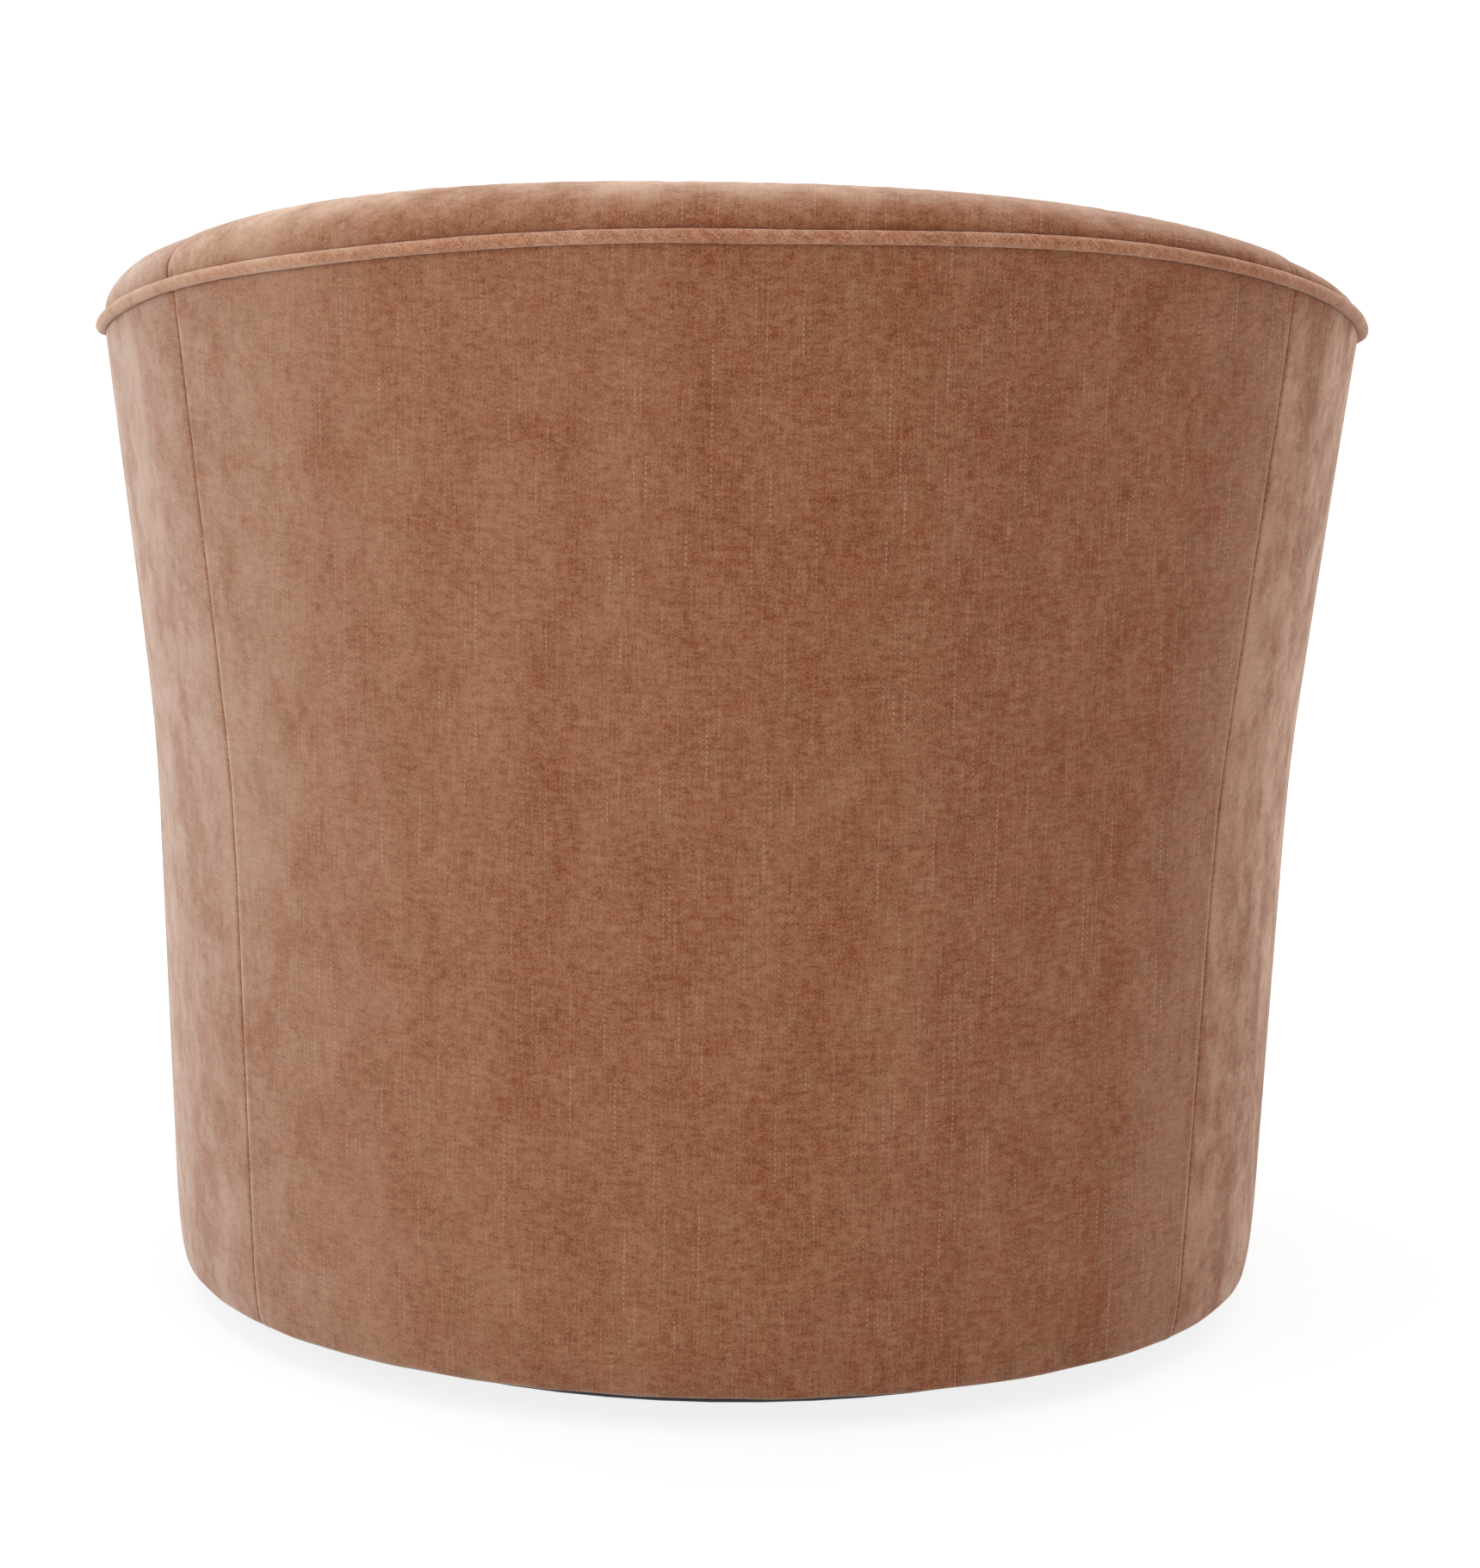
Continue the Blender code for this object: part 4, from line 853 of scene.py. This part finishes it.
def makePad(name, cloth, columns, runs, node, look, heldRun):
    # runs(column) gives two runs of points, face and back, which close at both ends
    rings = [runs(column) for column in columns]
    deep = len(rings[0][0])
    points, threads, held, faces = [], [], [], []
    middle = len(columns) // 2
    for c, (face, back) in enumerate(rings):
        down = 0.0
        for i, point in enumerate(face):
            down += (point - face[i - 1]).length if i else 0.0
            points.append(point)
            threads.append([0.0, -down])
            held.append(1.0 if c in (0, len(columns) - 1) else heldRun(i, point))
        down = 0.0
        for i, point in enumerate(back):
            down += (point - back[i - 1]).length if i else 0.0
            points.append(point)
            threads.append([0.0, down])
            held.append(1.0)
    ring = 2 * deep
    for i in range(ring):
        for step in (1, -1):
            along = 0.0
            c = middle
            while 0 <= c + step < len(columns):
                along += step * (points[(c + step) * ring + i] - points[c * ring + i]).length
                c += step
                threads[c * ring + i][0] = along
    order = list(range(deep)) + list(range(ring - 1, deep - 1, -1))
    for c in range(len(columns) - 1):
        for i in range(ring):
            a, b = order[i], order[(i + 1) % ring]
            faces.append((c * ring + a, c * ring + b, (c + 1) * ring + b, (c + 1) * ring + a))
    for c in (0, len(columns) - 1):
        for i in range(deep - 1):
            faces.append((c * ring + i, c * ring + i + 1, c * ring + deep + i + 1, c * ring + deep + i))
    piece = meshPiece(name, points, faces, threads)
    outwards(piece)
    fullness(piece, held, look["pressure"], look["cap"], look["slack"])
    smoothed(piece)
    dress(piece, "chair_body", "chenille", cloth, node)


def padRuns(column):
    look = padLook
    angle, drop = column
    rising, falling, shoulder = padCrown(angle, 1.0, look)
    cord = edgeHeight(angle)
    flat = [(cordClear * math.cos(t) - wall["cordStand"], cord + cordClear * math.sin(t))
            for t in look["lipTurns"]]
    lip = flat[0][1]
    flat += rising + falling[1:]
    down = (shoulder - deckLow.z) / look["faceRows"]
    for i in range(1, look["faceRows"] + 1):
        z = shoulder - down * i
        flat.append((armDepth(angle, max(z, wall["seatBend"]), 1.0), z))
    deeper = [min(1.0, max(0.0, (i - crownRows) / look["slimRows"])) for i in range(len(flat))]
    slims = [look["crownSlim"] + (look["slim"] - look["crownSlim"]) * share for share in deeper]
    drops = [(slim + drop) * min(1.0, i / look["easeRows"]) for i, slim in enumerate(slims)]
    face = [facePoint(angle, z, depth) for depth, z in offsetRun(flat, drops)]
    railTop = rimHeight(angle) - wall["railDrop"] + wall["gap"]
    lipDepth = wall["coverThickness"] + wall["gap"]
    lipRun = [(lipDepth, z) for z in spread(lip, railTop, abs(lip - railTop) / look["lipRows"])]
    railStep = (wall["padBack"] - lipDepth) / look["railRows"]
    overRail = [(depth, railTop) for depth in spread(lipDepth, wall["padBack"], railStep)[1:]]
    rest = len(flat) - len(lipRun) - len(overRail)
    downBack = [(wall["padBack"], railTop - (railTop - deckLow.z) * (i + 1) / rest) for i in range(rest)]
    back = [wallPoint(angle, z, depth) for depth, z in lipRun + overRail + downBack]
    return face, back


def padHeld(index, point):
    # how firmly each point is held: sewn ones wholly, the rest by the stuffing behind them
    look = padLook
    if index < look["sewnRows"] or point.z < deckLow.z + look["footHeld"]:
        return 1.0
    return look["crownHold"] if index < crownRows else look["faceHold"]


makePad("insideBackPad", rolledChenille, seamColumns(-seam + seamHalf, seam - seamHalf, padLook), padRuns,
        "inside_back_pad", padLook, padHeld)
padEnd = wall["armFront"] - cordHalf - angleOf(wall["gap"], wall["armFront"])
armColumns = seamColumns(seam + seamHalf, padEnd, padLook)
makePad("insideArmPadRight", chenille, armColumns, padRuns, "inside_arm_pad_right", padLook, padHeld)
makePad("insideArmPadLeft", rolledChenille, [(-a, drop) for a, drop in armColumns[::-1]], padRuns,
        "inside_arm_pad_left", padLook, padHeld)
print("back and arm padding made")


# Padded fronts of the arms, with the cover that hangs from them to the hem

noseLook = {
    "slim": 0.0018, "step": 0.005, "crownOuter": 10, "crownInner": 12, "faceRows": 30, "lowRows": 24,
    "grooveRoll": 0.0022, "tipRound": 0.010, "tipSteps": 7, "tipFall": 0.007, "seamWide": 0.010,
    "seamDrop": 0.0035, "pressure": 3.0, "cap": 0.004, "slack": 0.01, "fill": 0.8, "seamSteps": 4,
    "tipThick": 0.12, "stepAngle": 140,
}


def noseRuns(column):
    look = noseLook
    angle, outerDepth, drop, thick = column
    share = noseShare(angle)
    rising, falling, shoulder = padCrown(angle, share, look)
    base = rimHeight(angle) - wall["noseDrop"] * (1 - share)
    face = list(falling)
    down = (shoulder - deckLow.z) / look["faceRows"]
    for i in range(1, look["faceRows"] + 1):
        z = shoulder - down * i
        face.append((armDepth(angle, max(z, wall["seatBend"]), share), z))
    drops = [look["slim"] + drop] * len(face)
    face = offsetRun(face, drops)
    low = (deckLow.z - hemZ) / look["lowRows"]
    behind = [(wall["coverThickness"], deckLow.z - low * (i + 1)) for i in range(look["lowRows"])]
    outside = [(max(depth, outerDepth), z) for depth, z in rising[::-1][1:]]
    count = len(outside)
    outside = offsetRun(outside, [-(look["slim"] + drop) * (1 - i / count) for i in range(count)])
    rest = len(face) + len(behind) - len(outside)
    fall = (rising[0][1] - hemZ) / rest
    outside += [(outerDepth, rising[0][1] - fall * (i + 1)) for i in range(rest)]
    squeeze = 1 - thick
    middle = [(a[0] + b[0]) / 2 for a, b in zip(face + behind, outside)]
    faceRun = [facePoint(angle, z - look["tipFall"] * squeeze * (z > base), depth + (mid - depth) * squeeze)
               for (depth, z), mid in zip(face, middle)]
    faceRun += [wallPoint(angle, z, depth + (mid - depth) * squeeze)
                for (depth, z), mid in zip(behind, middle[len(face):])]
    outRun = [wallPoint(angle, z - look["tipFall"] * squeeze * (z > base), depth + (mid - depth) * squeeze)
              for (depth, z), mid in zip(outside, middle)]
    return faceRun, outRun


def noseColumns():
    look = noseLook
    start, clear = wall["armFront"] - cordHalf, wall["armFront"] + cordHalf
    columns = [(start + angleOf(d, start), grooveDepth, drop, 1.0)
               for d, drop in drawnIn(look, look["seamSteps"])]
    columns = [c for c in columns if c[0] < clear]
    columns.append((clear, grooveDepth, 0.0, 1.0))
    columns += [(clear + angleOf(d, clear), depth, 0.0, 1.0) for d, depth in rolled(look["grooveRoll"])[1:]]
    tip = angleOf(look["tipRound"], wall["noseEnd"])
    low = columns[-1][0]
    step = angleOf(look["step"], look["stepAngle"])
    columns += [(a, 0.0, 0.0, 1.0) for a in spread(low, wall["noseEnd"] - tip, step)[1:]]
    for i in range(1, look["tipSteps"] + 1):
        turn = math.pi / 2 * i / look["tipSteps"]
        thick = max(look["tipThick"], math.cos(turn))
        columns.append((wall["noseEnd"] - tip * (1 - math.sin(turn)), 0.0, 0.0, thick))
    return columns


def noseHeld(index, point):
    if point.z < deckLow.z + padLook["footHeld"]:
        return 1.0
    return padLook["crownHold"] if index < noseLook["crownInner"] else padLook["faceHold"]


noseSide = noseColumns()
makePad("armFrontRight", chenille, noseSide, noseRuns, "arm_front_right", noseLook, noseHeld)
makePad("armFrontLeft", chenille, [(-a, *rest) for a, *rest in noseSide[::-1]], noseRuns, "arm_front_left",
        noseLook, noseHeld)
print("arm fronts made")


# Seat: a padded deck over the springs, and a loose box cushion with corded edges

deckLook = {
    "edgeRound": 0.005, "step": 0.006, "clear": 0.0012, "cornerClear": 0.012, "sag": 0.0012, "fill": 0.4,
    "cornerRound": 0.006, "armDegrees": 1.5, "frontDegrees": 2.0, "edgeTurns": (0.0, 0.5, 1.0, 1.57),
    "lowShares": (0.3, 0.7, 0.95), "highShares": (0.95, 0.85, 0.6, 0.3),
}
cushionLook = {
    "thick": 0.142, "overhang": 0.018, "clear": 0.0012, "sideSlim": 0.0042, "crown": 0.017,
    "cordInset": 0.0046, "cordRise": 0.0046, "drawn": 0.003, "drawnShare": 0.4, "voxel": 0.0068,
    "pressure": 3.2, "cap": 0.012, "seamHeld": 0.010, "footHeld": 0.003, "slack": 0.02, "fill": 0.75,
    "step": 0.005, "cornerRound": 0.012, "rings": 14, "crownPower": 2.4, "level": 0.7,
    "lowShares": (0.25, 0.5, 0.75, 0.95), "highShares": (0.97, 0.92, 0.84, 0.72, 0.56, 0.36, 0.16),
    # how the panels run in from the cords: (further in, further up) where they start and where they rise
    "lowStart": (0.006, 0.0008), "lowEdge": (0.004, 0.001), "highEdge": (0.004, -0.0005), "highStart": 0.005,
}


def wellLine(clear, front):
    # round the inside of the arms and back at the seat's height, closed along the front
    end = wall["noseEnd"] + angleOf(2 * clear, wall["noseEnd"])
    points = []
    for angle in spread(-end, end, deckLook["armDegrees"]):
        share = noseShare(angle)
        point = wallPoint(angle, wall["seatBend"], armDepth(angle, wall["seatBend"], share) + clear)
        points.append(Vector((point.x, point.y, 0.0)))
    turn = wall["noseEnd"] + angleOf(deckLook["cornerClear"], wall["noseEnd"])
    for angle in spread(turn, 360 - turn, deckLook["frontDegrees"]):
        point = front(angle)
        points.append(Vector((point.x, point.y, 0.0)))
    return points


def softened(line, step, radius):
    # evens out a closed line and rounds its corners
    line = resampled(line, step, closed=True)
    reach = max(1, round(radius / step / 2))
    for _ in range(2):
        line = [sum((line[(i + k) % len(line)] for k in range(-reach, reach + 1)), Vector()) / (2 * reach + 1)
                for i in range(len(line))]
    return line


def insetLine(line, inset, z):
    out = []
    for i, point in enumerate(line):
        along = (line[(i + 1) % len(line)] - line[i - 1]).normalized()
        inwards = Vector((-along.y, along.x, 0.0))
        out.append(Vector((point.x, point.y, z)) + inwards * inset)
    return out


def shrunkLine(line, share, z):
    middle = sum(line, Vector()) / len(line)
    return [Vector((middle.x + (p.x - middle.x) * share, middle.y + (p.y - middle.y) * share, z))
            for p in line]


def turnedLeft(line):
    # a closed line in the direction whose inside lies to its left
    area = sum(a.x * b.y - b.x * a.y for a, b in zip(line, line[1:] + line[:1]))
    return line if area > 0 else line[::-1]


def stack(name, rings):
    # a closed form through level rings, closed below and above by fans
    count = len(rings[0])
    points = [p for ring in rings for p in ring]
    faces = []
    for r in range(len(rings) - 1):
        for i in range(count):
            j = (i + 1) % count
            faces.append((r * count + i, r * count + j, (r + 1) * count + j, (r + 1) * count + i))
    for r, way in ((0, -1), (len(rings) - 1, 1)):
        points.append(sum(rings[r], Vector()) / count)
        hub = len(points) - 1
        for i in range(count):
            j = (i + 1) % count
            faces.append((r * count + i, r * count + j, hub)[::way])
    piece = meshPiece(name, points, faces, [(p.x, p.y) for p in points])
    outwards(piece)
    return piece


def makeDeck():
    look = deckLook
    line = turnedLeft(wellLine(look["clear"], lambda a: wallPoint(a, deckLow.z, wall["gap"])))
    line = softened(line, look["step"], look["cornerRound"])
    low, high, r, turns = deckLow.z, deckHigh.z, look["edgeRound"], look["edgeTurns"]
    rings = [shrunkLine(insetLine(line, r, low), s, low) for s in look["lowShares"]]
    rings += [insetLine(line, r * (1 - math.sin(t)), low + r * (1 - math.cos(t))) for t in turns]
    rings += [insetLine(line, r * (1 - math.cos(t)), high - r * (1 - math.sin(t))) for t in turns]
    for s in look["highShares"]:
        rings.append(shrunkLine(insetLine(line, r, high), s, high - look["sag"] * (1 - s)))
    piece = stack("seatDeck", rings)
    dress(piece, "chair_body", "chenille", chenille, "seat_deck")


makeDeck()


def makeCushion():
    look = cushionLook
    line = turnedLeft(wellLine(look["clear"], lambda a: wallPoint(a, deckLow.z, -look["overhang"])))
    line = softened(line, look["step"], look["cornerRound"])
    bottom, top = cushionLow.z, cushionLow.z + look["thick"]
    low, high = bottom + look["cordRise"], top - look["cordRise"]
    inset, slim = look["cordInset"], look["sideSlim"]
    inwards, up = look["lowStart"]
    rings = [shrunkLine(insetLine(line, inset + inwards, bottom), s, bottom + up) for s in look["lowShares"]]
    inwards, up = look["lowEdge"]
    rings += [insetLine(line, inset + inwards, bottom + up), insetLine(line, inset, low)]
    for i in range(1, look["rings"]):
        share = i / look["rings"]
        drawn = look["drawn"] * math.sin(math.pi * share) ** 0.5
        rings.append(insetLine(line, slim + drawn * look["drawnShare"], low + (high - low) * share))
    inwards, up = look["highEdge"]
    rings += [insetLine(line, inset, high), insetLine(line, inset + inwards, top + up)]
    panel = insetLine(line, inset + look["highStart"], top)
    for s in look["highShares"]:
        rings.append(shrunkLine(panel, s, top + look["crown"] * (1 - s ** look["crownPower"])))
    piece = stack("seatCushion", rings)
    pickOnly(piece)
    remesh = piece.modifiers.new("even mesh", "REMESH")
    remesh.mode = "VOXEL"
    remesh.voxel_size = look["voxel"]
    remesh.use_smooth_shade = True
    applyAll(piece)
    edge = nearestOn(insetLine(line, inset, 0.0))
    held = []
    for vertex in piece.data.vertices:
        p = vertex.co
        byCord = min(abs(p.z - low), abs(p.z - high)) < look["seamHeld"]
        byCord = byCord and edge.find((p.x, p.y, 0.0))[2] < look["seamHeld"]
        held.append(1.0 if p.z < bottom + look["footHeld"] or byCord else 0.0)
    fullness(piece, held, look["pressure"], look["cap"], look["slack"])
    smoothed(piece)
    threadsOnCushion(piece, line)
    dress(piece, "cushion", "chenille", chenille, "seat_cushion")
    for name, z in (("cushionCordLow", low), ("cushionCordHigh", high)):
        cord = makeWelt(name, insetLine(line, inset, z), wall["cordRadius"], closed=True)
        dress(cord, "cushion", "chenille", biasChenille)


def nearestOn(line):
    tree = KDTree(len(line))
    for i, point in enumerate(line):
        tree.insert((point.x, point.y, 0.0), i)
    tree.balance()
    return tree


def threadsOnCushion(piece, line):
    # the panels are mapped from above, the border round its length
    mesh = piece.data
    layer = mesh.uv_layers.get("threadMap") or mesh.uv_layers.new(name="threadMap")
    run = [0.0]
    for near, far in zip(line, line[1:] + line[:1]):
        run.append(run[-1] + (far - near).length)
    edge = nearestOn(line)
    around = {}
    for polygon in mesh.polygons:
        level = abs(polygon.normal.z) > cushionLook["level"]
        first = None
        for loop in polygon.loop_indices:
            index = mesh.loops[loop].vertex_index
            p = mesh.vertices[index].co
            if level:
                layer.data[loop].uv = (p.x, p.y)
                continue
            if index not in around:
                best = edge.find((p.x, p.y, 0.0))[1]
                ahead = (line[(best + 1) % len(line)] - line[best - 1]).normalized()
                around[index] = run[best] + Vector((p.x - line[best].x, p.y - line[best].y, 0.0)).dot(ahead)
            u = around[index]
            if first is None:
                first = u
            if u - first > run[-1] / 2:
                u -= run[-1]
            elif first - u > run[-1] / 2:
                u += run[-1]
            layer.data[loop].uv = (u, p.z)


makeCushion()
print("seat made")


# Dust cover: spun cloth stapled under the bottom ring, with a round hole for the swivel

dustLook = {
    "thick": 0.0005, "setback": 0.0111, "hole": 0.012, "rings": 24, "step": 1.5, "sag": 0.0004,
    "sagSize": 0.05, "sagEven": 0.4, "stapleStep": 0.062, "stapleIn": 0.008, "stapleWide": 0.010,
    "stapleWire": 0.0007, "wireFlat": 1.6, "wireRound": 0.4, "wireSunk": 0.2, "skew": 0.12, "skewSize": 0.05,
}


def makeDustCover():
    look = dustLook
    low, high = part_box("dust_cover")
    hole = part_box("swivel_lower_plate")[1].x + look["hole"]
    turns = spread(0.0, 360.0, look["step"])[:-1]
    outer = [wallPoint(a, high.z, look["setback"]) for a in turns]
    inner = [Vector((hole * math.sin(math.radians(a)), hole * math.cos(math.radians(a)), high.z))
             for a in turns]
    points, faces = [], []
    count = len(turns)
    for r in range(look["rings"] + 1):
        share = r / look["rings"]
        for a, b in zip(outer, inner):
            p = a.lerp(b, share)
            hung = ripple(p.x, p.y, 0.0, look["sagSize"]) - look["sagEven"]
            points.append(p + Vector((0, 0, look["sag"] * math.sin(math.pi * share) * hung)))
    for r in range(look["rings"]):
        for i in range(count):
            j = (i + 1) % count
            faces.append((r * count + i, r * count + j, (r + 1) * count + j, (r + 1) * count + i))
    piece = meshPiece("dustCover", points, faces, [(p.x, p.y) for p in points])
    thickness = piece.modifiers.new("cloth thickness", "SOLIDIFY")
    thickness.thickness = look["thick"]
    thickness.offset = 0
    applyAll(piece)
    outwards(piece)
    dress(piece, "chair_body", "lining", lining, "dust_cover")
    return outer


def makeStaples(edge):
    look = dustLook
    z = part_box("dust_cover")[0].z
    bpy.ops.object.select_all(action="DESELECT")
    wire = look["stapleWire"]
    bpy.ops.mesh.primitive_cube_add(size=1, location=(0, 0, 0))
    first = bpy.context.object
    first.data.transform(Matrix.Diagonal((look["stapleWide"], wire * look["wireFlat"], wire, 1)))
    pickOnly(first)
    bpy.ops.object.mode_set(mode="EDIT")
    bpy.ops.mesh.select_all(action="SELECT")
    bpy.ops.mesh.bevel(offset=wire * look["wireRound"], segments=2)
    bpy.ops.object.mode_set(mode="OBJECT")
    places = resampled([Vector((p.x, p.y, 0.0)) for p in edge], look["stapleStep"], closed=True)
    copies = []
    for i, place in enumerate(places):
        ahead = (places[(i + 1) % len(places)] - places[i - 1]).normalized()
        inward = Vector((-ahead.y, ahead.x, 0.0))
        if inward.dot(place) > 0:
            inward = -inward
        spot = place + inward * look["stapleIn"]
        angle = math.atan2(ahead.y, ahead.x)
        angle += look["skew"] * ripple(place.x, place.y, 1.0, look["skewSize"])
        spot.z = z - wire * look["wireSunk"]
        copy = first.copy()
        copy.data = first.data.copy()
        copy.data.transform(Matrix.Translation(spot) @ Matrix.Rotation(angle, 4, "Z"))
        bpy.context.scene.collection.objects.link(copy)
        copies.append(copy)
    bpy.data.objects.remove(first)
    bpy.ops.object.select_all(action="DESELECT")
    for copy in copies:
        copy.select_set(True)
    bpy.context.view_layer.objects.active = copies[0]
    bpy.ops.object.join()
    staples = bpy.context.object
    staples.name = staples.data.name = "dustCoverStaples"
    dress(staples, "chair_body", "bright_steel", brightSteel)


makeStaples(makeDustCover())
print("dust cover made")


# The frame's own pieces keep their shapes and take their finish

finishes = {
    "base_disc": blackBoard, "floor_glide": nylon, "swivel_": blackSteel, "ball_cage": blackSteel,
    "lower_plate_screw": brightSteel, "upper_plate_bolt": brightSteel, "pivot_": brightSteel,
    "race_ball": brightSteel, "seat_spring": brightSteel, "bottom_ring": plywood, "back_webbing": webbing,
    "cross_rail": beech, "seat_rail": beech, "top_rail": beech, "back_post": beech, "front_post": beech,
}
for name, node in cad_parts.items():
    for start, material in finishes.items():
        if name.startswith(start):
            node.data.materials.clear()
            node.data.materials.append(material)
print("frame pieces finished")


# Floor, light and camera

floorLook = {"size": 60.0, "white": "#ffffff", "paint": "#e8e8e8", "shade": 0.28, "glow": 1.16,
             "shadeReach": (0.7, 2.0)}
lampAim = (0.0, 0.0, 0.4)
lampLook = {
    # name: (place, size across, watts)
    "keyFromBackLeft": ((3.2, 2.6, 2.1), 2.2, 54.0),
    "fillFromBackRight": ((-3.2, 2.4, 1.6), 2.4, 20.0),
    "frontLeft": ((-2.6, -3.0, 2.2), 2.4, 52.0),
    "frontRight": ((2.8, -2.6, 1.6), 2.2, 26.0),
    "above": ((0.3, -0.2, 3.4), 2.6, 40.0),
}
worldLook = {"level": 0.535}
cameraLook = {"place": (-0.0107, 3.453, 1.0), "tilt": 78.83, "roll": 1.03, "lens": 128.5, "sensor": 36.0}


def seenRays(add):
    # 1 for what the eye, a mirror or glass sees, and 0 for the light that reaches the chair
    ray = add("LightPath")
    seen = add("Math", {0: ray.outputs["Is Camera Ray"], 1: ray.outputs["Is Glossy Ray"]},
               operation="MAXIMUM")
    return add("Math", {0: seen, 1: ray.outputs["Is Transmission Ray"]}, operation="MAXIMUM")


def makeFloor():
    bpy.ops.object.select_all(action="DESELECT")
    bpy.ops.mesh.primitive_plane_add(size=floorLook["size"], location=(0, 0, 0))
    floor = bpy.context.object
    floor.name = "floor"
    material, add = newMaterial("white floor")
    glow = add("Emission", {"Color": hexColour(floorLook["white"]), "Strength": floorLook["glow"]})
    paint = add("BsdfDiffuse", {"Color": hexColour(floorLook["paint"])})
    # the chair's shadow is kept near it, and further out the floor is plain white
    away = add("VectorMath", {0: add("TexCoord").outputs["Object"]}, operation="LENGTH")
    near, far = floorLook["shadeReach"]
    share = add("MapRange", {"Value": away, "From Min": near, "From Max": far,
                             "To Min": 1 - floorLook["shade"], "To Max": 1.0},
                interpolation_type="SMOOTHSTEP")
    amount = add("Math", {0: seenRays(add), 1: share}, operation="MULTIPLY")
    add("OutputMaterial", {0: add("MixShader", {0: amount, 1: paint, 2: glow})})
    floor.data.materials.append(material)


def makeWorld():
    world = bpy.data.worlds.new("studio")
    bpy.context.scene.world = world
    world.use_nodes = True
    world.node_tree.nodes.clear()
    add = partial(addNode, world.node_tree)
    level = add("MapRange", {"Value": seenRays(add), "To Min": worldLook["level"], "To Max": 1.0})
    add("OutputWorld", {0: add("Background", {"Color": (1, 1, 1, 1), "Strength": level})})


def makeLamps():
    for name, (place, across, watts) in lampLook.items():
        data = bpy.data.lights.new(name, "AREA")
        data.size, data.energy = across, watts
        lamp = bpy.data.objects.new(name, data)
        lamp.location = place
        lamp.rotation_euler = (Vector(lampAim) - Vector(place)).to_track_quat("-Z", "Y").to_euler()
        bpy.context.scene.collection.objects.link(lamp)


def makeCamera():
    look = cameraLook
    data = bpy.data.cameras.new("photo camera")
    data.lens, data.sensor_width = look["lens"], look["sensor"]
    camera = bpy.data.objects.new("photo camera", data)
    turn = (Matrix.Rotation(math.pi, 4, "Z") @ Matrix.Rotation(math.radians(look["tilt"]), 4, "X")
            @ Matrix.Rotation(math.radians(look["roll"]), 4, "Z"))
    camera.matrix_world = Matrix.Translation(look["place"]) @ turn
    bpy.context.scene.collection.objects.link(camera)
    bpy.context.scene.camera = camera


makeFloor()
makeWorld()
makeLamps()
makeCamera()
bpy.context.scene.view_settings.view_transform = "Standard"
print("floor, light and camera made")
